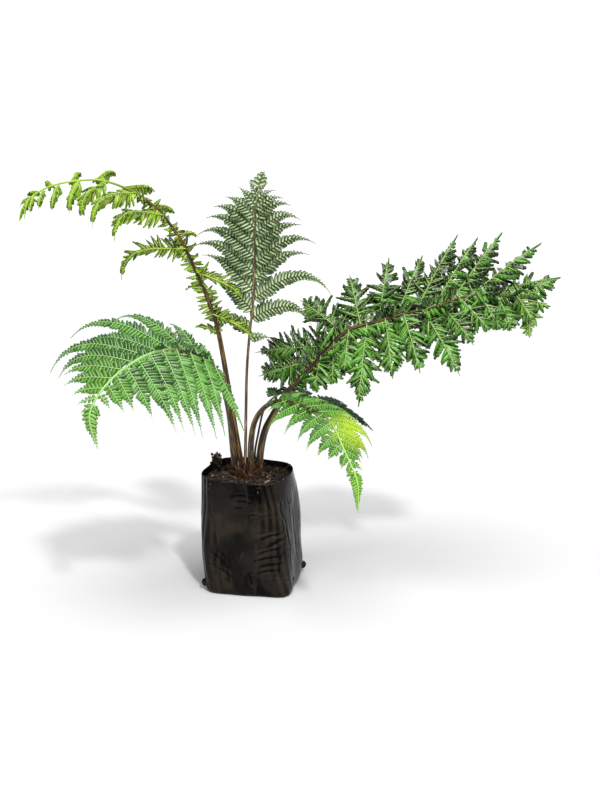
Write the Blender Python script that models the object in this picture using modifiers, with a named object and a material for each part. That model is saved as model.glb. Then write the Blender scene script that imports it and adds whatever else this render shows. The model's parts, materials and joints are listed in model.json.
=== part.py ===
"""A young tree fern of six arching fronds in a black film nursery bag.

Metres, +Z up, the origin at the centre of the bag's base. The camera side is -Y.
"""

import math
import random

import bmesh
import bpy
import numpy as np
from mathutils import Matrix

# Driving sizes, in metres

MM = 0.001
GAP = 0.0003
BLADE_THICK = 0.0008
BAG_WALL = 0.001
BAG_YAW_BASE = math.radians(-10)
BAG_YAW_RIM = math.radians(-21)
BAG_HALF_BASE = 0.0715
BAG_HALF_RIM = 0.0715
BAG_HEIGHT = 0.187
BAG_RIM_WAVE = 0.0024
BAG_RIM_RIPPLE = 0.0016
BAG_SQUARENESS = 6.5
BAG_ROUNDING = 4.0
BAG_BELLY = 0.0015
BAG_DENT = 0.0012
BAG_RIPPLE = 0.0008
BAG_FOOT_HEIGHT = 0.012
BAG_FOOT_INSET = 0.006
BAG_SIDES = 32
BASE_CENTRE = (0.008, -0.009)
RIM_CENTRE = (-0.004, 0.004)
SOIL_TOP = 0.176
SOIL_MOUND = 0.006
SOIL_INSET = 0.0021
SOIL_FLOOR = 0.0015
SOIL_BUMP = 0.0014
SOIL_RINGS = (0.82, 0.5)
# Heights of the rings that the bag and the soil are lofted through
LEVELS = (0.0, 0.003, 0.012, 0.055, 0.105, 0.15, 0.17)
DRAIN_RADIUS = 0.004
DRAIN_DEPTH = 0.006
DRAIN_HEIGHT = 0.019
DRAIN_HOLES = 6
DRAIN_SIDES = 10
DRAIN_FIRST = math.radians(39)
EAR_TURN = math.radians(36)
EAR_HEIGHT = 0.011
EAR_REACH = 0.0065
EAR_TALL = 0.013
EAR_SINK = 0.3
EAR_TAPER = 0.4
CROWN_CENTRE = (-0.003, -0.002)
CROWN_PROFILE = (
    (0.0, 0.142),
    (0.016, 0.145),
    (0.026, 0.160),
    (0.0285, 0.176),
    (0.023, 0.190),
    (0.012, 0.196),
    (0.0, 0.197),
)
CROWN_STEPS = 16
SEAT_GAP = 0.0005
SOCKET_LENGTH = 0.055
RIB_HALF = 0.0011
STALK = 0.006
LINE_STEPS = 10
PINNA_STEPS = 12
# How far a leaflet may reach, as a share of the way to the next pinna
ROOM_SHARE = 0.85
LEAFLETS_END = 0.93
LEAFLET_FORWARD = 0.35
LEAFLET_CUP = 0.18
RIB_TAPER = 0.45
LAST_PAIR_BACK = 0.2
LENGTH_SPREAD = 0.04
ANGLE_SPREAD = 2.0
TAIL_ROOM = 0.011
TAIL_LAP = 1.15
TIP_BACK = 0.002
STEM_TAPER = 0.8
STEM_STEP = 0.034
END_STEP = 0.002
STEM_SIDES = 6

# The fronds. A spine is the way of the stem in mm. The other lists are spread evenly from
# the lowest pinna to the tip: face is the way the upper side looks, and each side's length
# is in mm, its angle from the stem in degrees, and its droop in radians over its length.
# A leaflet is at most leaflet mm long, and at most share of its pinna's length.

FRONDS = {
    "lime": dict(
        spine=[(-11, 6, 155), (-14, 8, 187), (-19, 7, 221), (-29, 8, 288), (-42, 5, 378),
               (-52, 0, 434), (-65, -6, 475), (-78, -12, 510), (-103, -24, 567), (-135, -35, 612),
               (-167, -47, 638), (-216, -63, 657), (-271, -74, 653), (-305, -80, 640),
               (-328, -84, 619), (-335, -84, 597)],
        stem=(5.6, 3.8, 0.9), first=0.365, pairs=11, crowd=2.0, tail=0.075, offset=0.4, hook=3.4,
        bare=0.012, leaflet=22, share=0.22, pitch=21, hang=0.7, twist=8,
        face=[(-0.5, -0.75, 0.2), (-0.3, -0.8, 0.45), (0, -0.45, 0.9), (0, -0.4, 0.9),
              (-0.1, -0.4, 0.9), (-0.4, -0.4, 0.8)],
        left=dict(length=[45, 32, 128, 130, 132, 106, 77, 64, 42, 37, 38],
                  angle=[70, 70, 60, 50, 48, 58, 70, 72, 68, 62, 55],
                  droop=[1.2, 1.2, 3.8, 3.8, 3.5, 3.2, 3.0, 2.8, 2.6, 2.4, 2.4]),
        right=dict(length=[80, 84, 46, 60, 82, 70, 50, 42, 34, 28, 22],
                   angle=[122, 134, 116, 130, 128, 120, 110, 80, 60, 50, 45],
                   droop=[1.0, 1.0, 1.2, 1.2, 1.0, 1.4, 1.6, 2.0, 2.0, 2.0, 2.0]),
    ),
    "upright": dict(
        spine=[(-6, -6, 155), (-8, -7, 191), (-7, -6, 225), (-5, -4, 308), (-3, -2, 363),
               (2, 0, 419), (8, 4, 469), (10, 9, 518), (11, 15, 570), (12, 21, 613), (17, 26, 643),
               (25, 30, 670)],
        stem=(2.6, 2.1, 0.8), first=0.487, pairs=12, crowd=1.6, tail=0.09, offset=0.45, hook=1.2,
        bare=0.012, leaflet=16, share=0.19, pitch=21, hang=0.0, twist=14,
        face=[(0.25, 1, 0.1), (0.2, 1, 0.1)],
        left=dict(length=[38, 118, 142, 108, 112, 88, 82, 66, 52, 36, 24, 14],
                  angle=[70, 54, 49, 44, 46, 46, 45, 45, 45, 42, 34, 25],
                  droop=[0.8, 2.2, 2.1, 1.3, 1.5, 1.1, 1.6, 1.5, 1.2, 0.8, 0.3, 0]),
        right=dict(length=[62, 90, 110, 122, 113, 94, 84, 62, 44, 30, 18, 12],
                   angle=[66, 52, 46, 46, 45, 47, 47, 46, 42, 38, 30, 25],
                   droop=[0.5, 0.6, 1.0, 1.4, 1.5, 1.2, 1.0, 0.7, 0.4, 0.2, 0, 0]),
    ),
    "left": dict(
        spine=[(-19, -4, 155), (-23, -5, 190), (-27, -5, 224), (-31, -8, 276), (-37, -16, 317),
               (-46, -30, 354), (-63, -52, 381), (-86, -78, 398), (-112, -105, 408),
               (-135, -132, 408), (-153, -155, 403), (-170, -178, 394), (-184, -198, 384),
               (-201, -220, 365), (-212, -234, 342), (-211, -238, 320), (-202, -240, 290)],
        stem=(5.6, 3.8, 0.9), first=0.405, pairs=12, crowd=1.25, tail=0.17, offset=0.4, hook=1.6,
        bare=0.075, leaflet=17, share=0.18, pitch=21, hang=0.1, twist=-24,
        face=[(0.7, -0.15, 0.6), (0.55, -0.35, 0.7), (0.42, -0.4, 0.8), (0.35, -0.45, 0.8),
              (-0.1, -1, 0.3), (-0.2, -1, 0)],
        left=dict(length=[112, 152, 162, 165, 152, 146, 140, 98, 64, 50, 31, 20],
                  angle=[120, 85, 86, 81, 72, 72, 70, 66, 63, 68, 66, 50],
                  droop=[0.5, 0.5, 0.6, 0.6, 0.5, 0.4]),
        right=dict(length=[60, 84, 125, 165, 125, 160, 128, 84, 70, 47, 31, 20],
                   angle=[85, 75, 54, 44, 48, 54, 56, 54, 52, 50, 50, 48],
                   droop=[1.0, 1.0, 1.5, 1.7, 1.6, 2.0, 1.9, 1.0, 0.9, 0.8, 0.6, 0.6]),
    ),
    "right": dict(
        spine=[(11, -2, 155), (15, -2, 190), (17, -2, 220), (24, -1, 254), (36, 0, 279),
               (59, 0, 317), (92, 0, 351), (125, 0, 389), (155, -2, 419), (190, -4, 432),
               (225, -6, 442), (256, -8, 450), (287, -10, 458), (313, -14, 467), (341, -18, 477),
               (370, -22, 482), (397, -28, 479), (423, -38, 479), (439, -46, 472), (440, -52, 458),
               (436, -54, 438), (438, -54, 417)],
        stem=(6.6, 4.4, 1.0), first=0.37, pairs=13, crowd=1.0, tail=0.09, offset=0.35, hook=1.4,
        bare=0.1, leaflet=28, share=0.32, pitch=22, hang=0.15, twist=14,
        face=[(-0.3, -0.8, 0.6), (0, -0.8, 0.6), (0, -0.7, 0.7), (0.2, -0.7, 0.6)],
        left=dict(length=[112, 140, 104, 100, 118, 118, 156, 140, 142, 142, 118, 78, 36],
                  angle=[142, 134, 106, 90, 70, 60, 53, 47, 41, 34, 31, 30, 28],
                  droop=[0.1, 0.15, 0.2, 0.2, 0.2, 0.2]),
        right=dict(length=[58, 66, 70, 148, 104, 104, 136, 92, 80, 74, 68, 50, 28],
                   angle=[148, 136, 118, 108, 96, 88, 74, 66, 64, 64, 60, 50, 45],
                   droop=[0.2, 0.2, 0.3, 0.4]),
    ),
    "front": dict(
        spine=[(2, -11, 155), (3, -12, 192), (2, -12, 225), (7, -15, 268), (21, -25, 296),
               (43, -44, 314), (70, -70, 318), (100, -100, 314), (124, -130, 307),
               (137, -158, 291), (146, -184, 274), (157, -206, 254), (165, -222, 231),
               (165, -230, 191)],
        stem=(6.0, 3.2, 0.8), first=0.42, pairs=10, crowd=1.25, tail=0.2, offset=0.4, hook=1.2,
        bare=0.012, leaflet=12, share=0.22, pitch=15, hang=0.0, twist=-14,
        face=[(-0.4, -0.1, 0.9), (-0.2, -0.2, 0.9), (0.0, -0.35, 0.9), (0.3, -0.6, 0.7), (0.6, -0.7, 0.3)],
        left=dict(length=[44, 54, 66, 66, 84, 72, 46, 32, 24, 15],
                  angle=[70, 50, 48, 46, 44, 46, 48, 46, 40, 35],
                  droop=[0.8, 0.8, 1.0, 1.3, 1.7, 1.8, 1.4, 0.8, 0.6, 0.6]),
        right=dict(length=[36, 66, 60, 64, 66, 54, 38, 30, 22, 16],
                   angle=[135, 112, 100, 88, 72, 62, 56, 42, 40, 40],
                   droop=[1.0, 1.2, 1.4, 1.3, 1.3, 1.2, 1.0, 0.6, 0.6, 0.6]),
    ),
    "back": dict(
        spine=[(6, 7, 155), (8, 8, 190), (8, 8, 218), (13, 10, 246), (21, 14, 282), (31, 22, 299),
               (54, 36, 311), (82, 56, 301), (112, 76, 290), (144, 94, 277), (172, 108, 260),
               (193, 118, 243), (210, 126, 223)],
        stem=(1.9, 1.6, 0.7), first=0.44, pairs=9, crowd=1.3, tail=0.16, offset=0.4, hook=1.0,
        bare=0.014, leaflet=12, share=0.24, pitch=16, hang=0.0, twist=8,
        face=[(-0.3, -0.4, 0.9), (0, -0.4, 0.9), (0.2, -0.3, 0.9)],
        left=dict(length=[45, 60, 80, 112, 70, 48, 34, 24, 16],
                  angle=[80, 72, 50, 26, 32, 35, 32, 30, 28],
                  droop=[0.5, 0.5, 0.5]),
        right=dict(length=[45, 55, 60, 60, 52, 40, 30, 20, 14],
                   angle=[85, 75, 60, 50, 45, 40, 35, 30, 28],
                   droop=[0.4, 0.4, 0.4]),
    ),
}
LEAFLET_SHAPE = (0.62, 0.92, 1.0, 0.95, 0.84, 0.68, 0.48, 0.26, 0.1)
TAIL_SHAPE = (1.0, 0.85, 0.62, 0.4, 0.18, 0.05)

COLOURS = {
    "bag": (0.018, 0.016, 0.015),
    "soil": (0.045, 0.028, 0.018),
    "crown": (0.13, 0.055, 0.028),
    "lime_stipe": (0.20, 0.095, 0.03),
    "upright_stipe": (0.06, 0.03, 0.018),
    "left_stipe": (0.13, 0.065, 0.026),
    "right_stipe": (0.14, 0.06, 0.026),
    "front_stipe": (0.15, 0.09, 0.03),
    "back_stipe": (0.04, 0.022, 0.014),
    "lime_frond": (0.22, 0.42, 0.05),
    "upright_frond": (0.13, 0.27, 0.12),
    "left_frond": (0.07, 0.25, 0.07),
    "right_frond": (0.035, 0.17, 0.035),
    "front_frond": (0.16, 0.38, 0.05),
    "back_frond": (0.02, 0.08, 0.02),
}
LEAF_ROUGHNESS = 0.55
ROUGHNESS = {"bag": 0.32, "soil": 0.95, "crown": 0.8}


# Collections, materials and meshes


def clear_scene():
    for obj in list(bpy.data.objects):
        bpy.data.objects.remove(obj, do_unlink=True)


def new_collection(name, hidden=False):
    made = bpy.data.collections.new(name)
    bpy.context.scene.collection.children.link(made)
    made.hide_render = hidden
    return made


def material(name, colour, roughness):
    made = bpy.data.materials.new(name)
    made.use_nodes = True
    shader = made.node_tree.nodes["Principled BSDF"]
    shader.inputs["Base Color"].default_value = (*colour, 1)
    shader.inputs["Roughness"].default_value = roughness
    shader.inputs["Metallic"].default_value = 0.0
    return made


def mesh_object(name, verts, faces, collection):
    mesh = bpy.data.meshes.new(name)
    mesh.from_pydata([tuple(v) for v in verts], [], faces)
    mesh.update()
    obj = bpy.data.objects.new(name, mesh)
    collection.objects.link(obj)
    return obj


def evaluated_mesh(obj):
    """Replaces an object's mesh with the one its modifiers make."""
    graph = bpy.context.evaluated_depsgraph_get()
    mesh = bpy.data.meshes.new_from_object(obj.evaluated_get(graph))
    obj.modifiers.clear()
    obj.data = mesh


def weld_and_face_out(obj, distance=0.00001):
    work = bmesh.new()
    work.from_mesh(obj.data)
    bmesh.ops.remove_doubles(work, verts=work.verts, dist=distance)
    bmesh.ops.recalc_face_normals(work, faces=work.faces)
    work.to_mesh(obj.data)
    work.free()


def boolean(obj, other, operation, solver="EXACT"):
    cut = obj.modifiers.new("boolean", "BOOLEAN")
    cut.operation = operation
    cut.solver = solver
    if isinstance(other, bpy.types.Collection):
        cut.operand_type = "COLLECTION"
        cut.collection = other
    else:
        cut.object = other
    evaluated_mesh(obj)


def keep_main_body(obj):
    """Drops scraps and the walls of sealed hollows, so that one outward body is left."""
    work = bmesh.new()
    work.from_mesh(obj.data)
    unseen = set(work.faces)
    bodies = []
    while unseen:
        stack = [unseen.pop()]
        body = list(stack)
        while stack:
            for edge in stack.pop().edges:
                for face in edge.link_faces:
                    if face in unseen:
                        unseen.remove(face)
                        stack.append(face)
                        body.append(face)
        bodies.append(body)
    bodies.sort(key=len)
    loose = [face for body in bodies[:-1] for face in body]
    bmesh.ops.delete(work, geom=loose, context="FACES")
    work.to_mesh(obj.data)
    work.free()
    return len(bodies) - 1


# Lines and directions


def unit(v):
    return v / np.linalg.norm(v)


def keyed(values, u):
    """The value at u, 0 to 1, of a list spread evenly."""
    return float(np.interp(u, np.linspace(0, 1, len(values)), values))


class Line:
    """A smooth way through points, read by the distance along it."""

    def __init__(self, points):
        p = [np.array(q, float) * MM for q in points]
        p = [2 * p[0] - p[1], *p, 2 * p[-1] - p[-2]]
        made = []
        for a, b, c, d in zip(p, p[1:], p[2:], p[3:]):
            for t in np.arange(LINE_STEPS) / LINE_STEPS:
                square = (2 * a - 5 * b + 4 * c - d) * t**2
                cube = (3 * b - a - 3 * c + d) * t**3
                made.append(0.5 * (2 * b + (c - a) * t + square + cube))
        self.points = np.array([*made, p[-2]])
        steps = np.linalg.norm(np.diff(self.points, axis=0), axis=1)
        self.far = np.concatenate([[0], np.cumsum(steps)])
        self.length = self.far[-1]

    def at(self, s):
        return np.array([np.interp(s, self.far, self.points[:, k]) for k in range(3)])

    def way(self, s, reach=0.004):
        return unit(self.at(min(s + reach, self.length)) - self.at(max(s - reach, 0)))


def face_of(frond, u, along):
    """The way the frond's upper side looks, square to its stem."""
    looks = np.array([keyed([f[k] for f in frond["face"]], u) for k in range(3)])
    return unit(looks - looks.dot(along) * along)


def tube(name, points, radii, sides, collection):
    """A tapered round stem with closed ends."""
    curve = bpy.data.curves.new(name, "CURVE")
    curve.dimensions = "3D"
    curve.bevel_depth = 1.0
    curve.bevel_resolution = (sides - 4) // 2
    curve.use_fill_caps = True
    spline = curve.splines.new("POLY")
    spline.points.add(len(points) - 1)
    for target, point, radius in zip(spline.points, points, radii):
        target.co = (*point, 1)
        target.radius = radius
    guide = bpy.data.objects.new(name + "_guide", curve)
    collection.objects.link(guide)
    graph = bpy.context.evaluated_depsgraph_get()
    mesh = bpy.data.meshes.new_from_object(guide.evaluated_get(graph))
    bpy.data.objects.remove(guide)
    obj = bpy.data.objects.new(name, mesh)
    collection.objects.link(obj)
    weld_and_face_out(obj)
    return obj


# Fronds


def pinna_way(frond, side, along, face, start, angle, droop, length):
    """Points, directions and upper-side normals along one pinna's midrib."""
    turn = math.radians(angle)
    d = unit(math.cos(turn) * along + math.sin(turn) * np.cross(along, face) * side)
    n = unit(face - face.dot(d) * d)
    hook = frond["hook"]
    points, ways, normals = [start], [d], [n]
    for k in range(PINNA_STEPS):
        u = (k + 0.5) / PINNA_STEPS
        d = unit(d - np.array([0, 0, droop * (hook + 1) * u**hook / PINNA_STEPS]))
        n = unit(n - n.dot(d) * d)
        points.append(points[-1] + d * length / PINNA_STEPS)
        ways.append(d)
        normals.append(n)
    lean = math.radians(frond["twist"]) * side
    normals = [math.cos(lean) * n + math.sin(lean) * np.cross(d, n) for n, d in zip(normals, ways)]
    return np.array(points), np.array(ways), np.array(normals)


def after(frond, place):
    """How far along the leafy part a pinna grows, 0 to 1. They crowd towards the tip."""
    count = frond["pairs"] - LAST_PAIR_BACK
    return (1 - frond["tail"]) * (1 - max(1 - place / count, 0) ** frond["crowd"])


def pinnae(name, frond):
    """For each pinna: its points, directions and normals, its length and its leaflets' room."""
    dice = random.Random(name)
    line = Line(frond["spine"])
    start = line.length * frond["first"]
    made = []
    for k in range(frond["pairs"]):
        for side, keys in ((-1, frond["left"]), (1, frond["right"])):
            place = k + (frond["offset"] if side > 0 else 0)
            u = after(frond, place)
            v = k / (frond["pairs"] - 1)
            s = start + (line.length - start) * u
            along = line.way(s)
            length = keyed(keys["length"], v) * MM * (1 + LENGTH_SPREAD * dice.uniform(-1, 1))
            angle = keyed(keys["angle"], v) + ANGLE_SPREAD * dice.uniform(-1, 1)
            droop = keyed(keys["droop"], v)
            face = face_of(frond, u, along)
            way = pinna_way(frond, side, along, face, line.at(s), angle, droop, length)
            room = ROOM_SHARE * (line.length - start) * (after(frond, place + 1) - u)
            made.append((*way, length, room))
    return made


def leaf_sheet(frond, points, ways, normals, length, room, stalk, shape):
    """A flat leaf cut to its midrib: a strip of rib with a pointed leaflet at each step."""
    pairs = max(2, round((length - stalk) / (frond["pitch"] * MM)))
    steps = list(np.linspace(stalk / length, LEAFLETS_END, pairs + 1))
    if stalk:
        steps = [0.0, *steps]
    spread = np.linspace(0, 1, len(points))

    def sample(values, u):
        return np.array([np.interp(u, spread, values[:, k]) for k in range(3)])

    verts, faces, edge = [], [], []
    for u in steps:
        middle, n, d = sample(points, u), unit(sample(normals, u)), unit(sample(ways, u))
        across = np.cross(n, d) * RIB_HALF * (1 - RIB_TAPER * u)
        edge.append(len(verts))
        verts += [middle + across, middle - across]
    tip = len(verts)
    verts.append(points[-1])
    first = 1 if stalk else 0
    for k, (a, b) in enumerate(zip(steps, steps[1:])):
        low, high = edge[k], edge[k + 1]
        faces += [(low, low + 1, high + 1), (low, high + 1, high)]
        if k < first:
            continue
        v = (k - first + 0.5) / pairs
        reach = keyed(shape, v) * min(frond["leaflet"] * MM, length * frond["share"], room)
        u = min(a + (b - a) * 0.5, 1)
        middle, n, d = sample(points, u), unit(sample(normals, u)), unit(sample(ways, u))
        for side, i, j in ((1, low, high), (-1, low + 1, high + 1)):
            sag = n * LEAFLET_CUP + np.array([0, 0, frond["hang"]])
            out = unit(np.cross(n, d) * side + d * LEAFLET_FORWARD - sag)
            verts.append(middle + out * (reach + RIB_HALF))
            end = len(verts) - 1
            faces.append((i, j, end) if side > 0 else (j, i, end))
    faces.append((edge[-1], edge[-1] + 1, tip))
    return verts, faces


def thin_leaf(name, sheet, collection):
    obj = mesh_object(name, *sheet, collection)
    thick = obj.modifiers.new("thickness", "SOLIDIFY")
    thick.thickness = BLADE_THICK
    thick.offset = 0
    evaluated_mesh(obj)
    weld_and_face_out(obj)
    return obj


def stem_radius(frond, line, s):
    foot, fork, tip = (value * MM for value in frond["stem"])
    start = line.length * frond["first"]
    if s < start:
        return foot + (fork - foot) * s / start
    return fork + (tip - fork) * ((s - start) / (line.length - start)) ** STEM_TAPER


def stem_tube(name, frond, low, high, collection, extra=0.0):
    """A piece of a frond's stem. Every piece is read at the same places, so that they stay alike."""
    line = Line(frond["spine"])
    margin = 3 * END_STEP
    grid = [s for s in np.arange(STEM_STEP, line.length, STEM_STEP) if low + margin < s < high - margin]
    places = [low, low + END_STEP, *grid, high - END_STEP, high]
    centres = [line.at(s) if s >= 0 else line.at(0) + line.way(0) * s for s in places]
    radii = [stem_radius(frond, line, max(s, 0)) + extra for s in places]
    return tube(name, centres, radii, STEM_SIDES, collection)


def build_frond(name, frond, collection):
    """The green part of a frond: its rachis with every pinna fused to it."""
    line = Line(frond["spine"])
    start = line.length * frond["first"]
    end = line.length - TIP_BACK
    body = stem_tube(name + "_frond", frond, start - frond["bare"] + GAP / 2, end, collection)
    leaves = new_collection(name + "_leaves")
    for k, (points, ways, normals, length, room) in enumerate(pinnae(name, frond)):
        sheet = leaf_sheet(frond, points, ways, normals, length, room, STALK, LEAFLET_SHAPE)
        thin_leaf(f"{name}_leaf_{k}", sheet, leaves)
    tail = start + (line.length - start) * (1 - frond["tail"] * TAIL_LAP)
    places = np.linspace(tail, line.length, PINNA_STEPS + 1)
    points = np.array([line.at(s) for s in places])
    ways = np.array([line.way(s) for s in places])
    normals = np.array([face_of(frond, 1.0, way) for way in ways])
    sheet = leaf_sheet(frond, points, ways, normals, line.length - tail, TAIL_ROOM, 0.0, TAIL_SHAPE)
    thin_leaf(name + "_leaf_tail", sheet, leaves)
    boolean(body, leaves, "UNION", "MANIFOLD")
    scraps = keep_main_body(body)
    for obj in list(leaves.objects):
        bpy.data.objects.remove(obj)
    bpy.data.collections.remove(leaves)
    print(name, "frond:", len(body.data.polygons), "faces,", scraps, "scraps")
    return body


# The bag and what fills it


def bag_yaw(z):
    """The bag is twisted a little between its base and its rim."""
    return BAG_YAW_BASE + (BAG_YAW_RIM - BAG_YAW_BASE) * z / BAG_HEIGHT


def bag_point(turn, z, inset):
    """A point of the bag's side: a rounded square at the base, rounder and wider at the rim."""
    h = z / BAG_HEIGHT
    power = BAG_SQUARENESS - BAG_ROUNDING * h
    half = BAG_HALF_BASE + (BAG_HALF_RIM - BAG_HALF_BASE) * h + BAG_BELLY * math.sin(math.pi * h)
    c, s = abs(math.cos(turn)), abs(math.sin(turn))
    radius = half / (c**power + s**power) ** (1 / power)
    radius += BAG_DENT * math.sin(3 * turn + 7 * h) * math.sin(math.pi * h)
    radius += BAG_RIPPLE * math.sin(7 * turn - 5 * h)
    foot = min(z / BAG_FOOT_HEIGHT, 1)
    radius -= BAG_FOOT_INSET * (1 - math.sqrt(1 - (1 - foot) ** 2)) + inset
    centre = [a + (b - a) * h for a, b in zip(BASE_CENTRE, RIM_CENTRE)]
    way = turn + bag_yaw(z)
    return centre[0] + radius * math.cos(way), centre[1] + radius * math.sin(way), z


def loft(name, rings, collection):
    """A closed body through rings of equal counts, with a fan at each end."""
    count = len(rings[0])
    verts = [point for ring in rings for point in ring]
    faces = []
    for k in range(len(rings) - 1):
        for i in range(count):
            j = (i + 1) % count
            a, b = k * count, (k + 1) * count
            if rings[k + 1][i][2] >= rings[k][i][2]:
                faces += [(a + i, a + j, b + j), (a + i, b + j, b + i)]
            else:
                faces += [(a + i, a + j, b + i), (a + j, b + j, b + i)]
    for ring, order in ((0, -1), (len(rings) - 1, 1)):
        middle = np.mean(np.array(rings[ring]), axis=0)
        hub = len(verts)
        verts.append(tuple(middle))
        for i in range(count):
            j = (i + 1) % count
            pair = (ring * count + i, ring * count + j)
            faces.append((*pair[::order], hub))
    obj = mesh_object(name, verts, faces, collection)
    weld_and_face_out(obj)
    return obj


def turns():
    return [2 * math.pi * i / BAG_SIDES for i in range(BAG_SIDES)]


def rim_height(turn):
    return BAG_HEIGHT + BAG_RIM_WAVE * math.sin(turn - 0.6) + BAG_RIM_RIPPLE * math.sin(3 * turn)


def radial_cutter(name, turn, collection):
    """A short level cylinder that goes through the bag's wall."""
    x, y, z = bag_point(turn, DRAIN_HEIGHT, BAG_WALL / 2)
    way = turn + bag_yaw(DRAIN_HEIGHT)
    bpy.ops.mesh.primitive_cylinder_add(
        vertices=DRAIN_SIDES,
        radius=DRAIN_RADIUS,
        depth=DRAIN_DEPTH,
        location=(x, y, z),
        rotation=(0, math.pi / 2, way),
    )
    return as_cutter(name, collection)


def as_cutter(name, collection):
    obj = bpy.context.object
    obj.name = name
    for owner in list(obj.users_collection):
        owner.objects.unlink(obj)
    collection.objects.link(obj)
    obj.hide_render = True
    obj.display_type = "WIRE"
    return obj


def build_bag(collection, cutters):
    outer = [[bag_point(t, z, 0) for t in turns()] for z in LEVELS]
    outer.append([bag_point(t, rim_height(t), 0) for t in turns()])
    inner = [[bag_point(t, rim_height(t), BAG_WALL) for t in turns()]]
    inner += [[bag_point(t, max(z, BAG_WALL), BAG_WALL) for t in turns()] for z in LEVELS[::-1]]
    bag = loft("bag", outer + inner, collection)
    for k, turn in enumerate((EAR_TURN, EAR_TURN + math.pi)):
        x, y, z = bag_point(turn, EAR_HEIGHT, -EAR_SINK * EAR_REACH)
        bpy.ops.mesh.primitive_cone_add(
            vertices=3,
            radius1=EAR_REACH,
            radius2=EAR_REACH * EAR_TAPER,
            depth=EAR_TALL,
            location=(x, y, z),
            rotation=(0, 0, turn + bag_yaw(EAR_HEIGHT) - math.pi / 2),
        )
        ear = as_cutter(f"bag_ear_{k}", cutters)
        boolean(bag, ear, "UNION")
    for k in range(DRAIN_HOLES):
        turn = DRAIN_FIRST + 2 * math.pi * k / DRAIN_HOLES
        boolean(bag, radial_cutter(f"drain_cutter_{k}", turn, cutters), "DIFFERENCE")
    weld_and_face_out(bag)
    return bag


def crown_solid(name, grow, collection):
    """The rootstock's turned shape, or a slightly larger one to cut its seat."""
    x, y = CROWN_CENTRE
    top = len(CROWN_PROFILE) - 1
    verts = []
    for k, (radius, z) in enumerate(CROWN_PROFILE):
        lift = -grow if k <= 1 else (grow if k >= top - 1 else 0)
        verts.append((radius + (grow if radius else 0), 0, z + lift))
    mesh = bpy.data.meshes.new(name)
    mesh.from_pydata(verts, [(k, k + 1) for k in range(top)], [])
    obj = bpy.data.objects.new(name, mesh)
    collection.objects.link(obj)
    turn = obj.modifiers.new("turn", "SCREW")
    turn.steps = CROWN_STEPS
    turn.render_steps = CROWN_STEPS
    turn.use_merge_vertices = True
    turn.merge_threshold = 0.00001
    evaluated_mesh(obj)
    obj.data.transform(Matrix.Translation((x, y, 0)))
    weld_and_face_out(obj)
    return obj


def build_soil(collection, seat):
    rings = [[bag_point(t, max(z, SOIL_FLOOR), SOIL_INSET) for t in turns()] for z in LEVELS]
    edge = [bag_point(t, SOIL_TOP + SOIL_BUMP * math.sin(2 * t + 1), SOIL_INSET) for t in turns()]
    rings.append(edge)
    middle = np.mean(np.array(edge), axis=0)
    for share in SOIL_RINGS:
        ring = []
        for t, point in zip(turns(), edge):
            x, y = middle[:2] + share * (np.array(point[:2]) - middle[:2])
            bump = SOIL_BUMP * (math.sin(3 * t + 9 * share) + 0.7 * math.sin(7 * t - 5 * share))
            ring.append((x, y, SOIL_TOP + SOIL_MOUND * (1 - share**2) + bump))
        rings.append(ring)
    soil = loft("soil", rings, collection)
    boolean(soil, seat, "DIFFERENCE")
    weld_and_face_out(soil)
    return soil


def main():
    clear_scene()
    plant = new_collection("potted_tree_fern")
    cutters = new_collection("cutters", hidden=True)
    made = {"bag": build_bag(plant, cutters)}
    seat = crown_solid("crown_seat_cutter", SEAT_GAP, cutters)
    seat.hide_render = True
    seat.display_type = "WIRE"
    made["soil"] = build_soil(plant, seat)
    crown = crown_solid("crown", 0.0, plant)
    for name, frond in FRONDS.items():
        line = Line(frond["spine"])
        start = line.length * frond["first"]
        socket = stem_tube(name + "_socket_cutter", frond, -SEAT_GAP, SOCKET_LENGTH, cutters, SEAT_GAP)
        socket.hide_render = True
        socket.display_type = "WIRE"
        boolean(crown, socket, "DIFFERENCE")
        made[name + "_stipe"] = stem_tube(name + "_stipe", frond, 0, start - frond["bare"] - GAP / 2, plant)
        made[name + "_frond"] = build_frond(name, frond, plant)
    weld_and_face_out(crown)
    made["crown"] = crown
    for name, obj in made.items():
        obj.data.materials.clear()
        rough = ROUGHNESS.get(name, LEAF_ROUGHNESS)
        obj.data.materials.append(material(name + "_surface", COLOURS[name], rough))
        for polygon in obj.data.polygons:
            polygon.material_index = 0


main()
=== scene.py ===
# %% [markdown]
# # A young tree fern in a film nursery bag
# The solid frame gives every piece its size and place. This lesson dresses it: fine fronds with
# toothed leaflets, streaked stems, a scaly crown, crumbly potting mix and a creased film bag.
# All shapes are meshes made in code, and all finishes are made of nodes, so nothing is read
# from disk except the frame.

# %% Load the frame
import json
import math
import random

import bpy
import numpy as np
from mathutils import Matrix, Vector, noise
from mathutils.kdtree import KDTree

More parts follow.
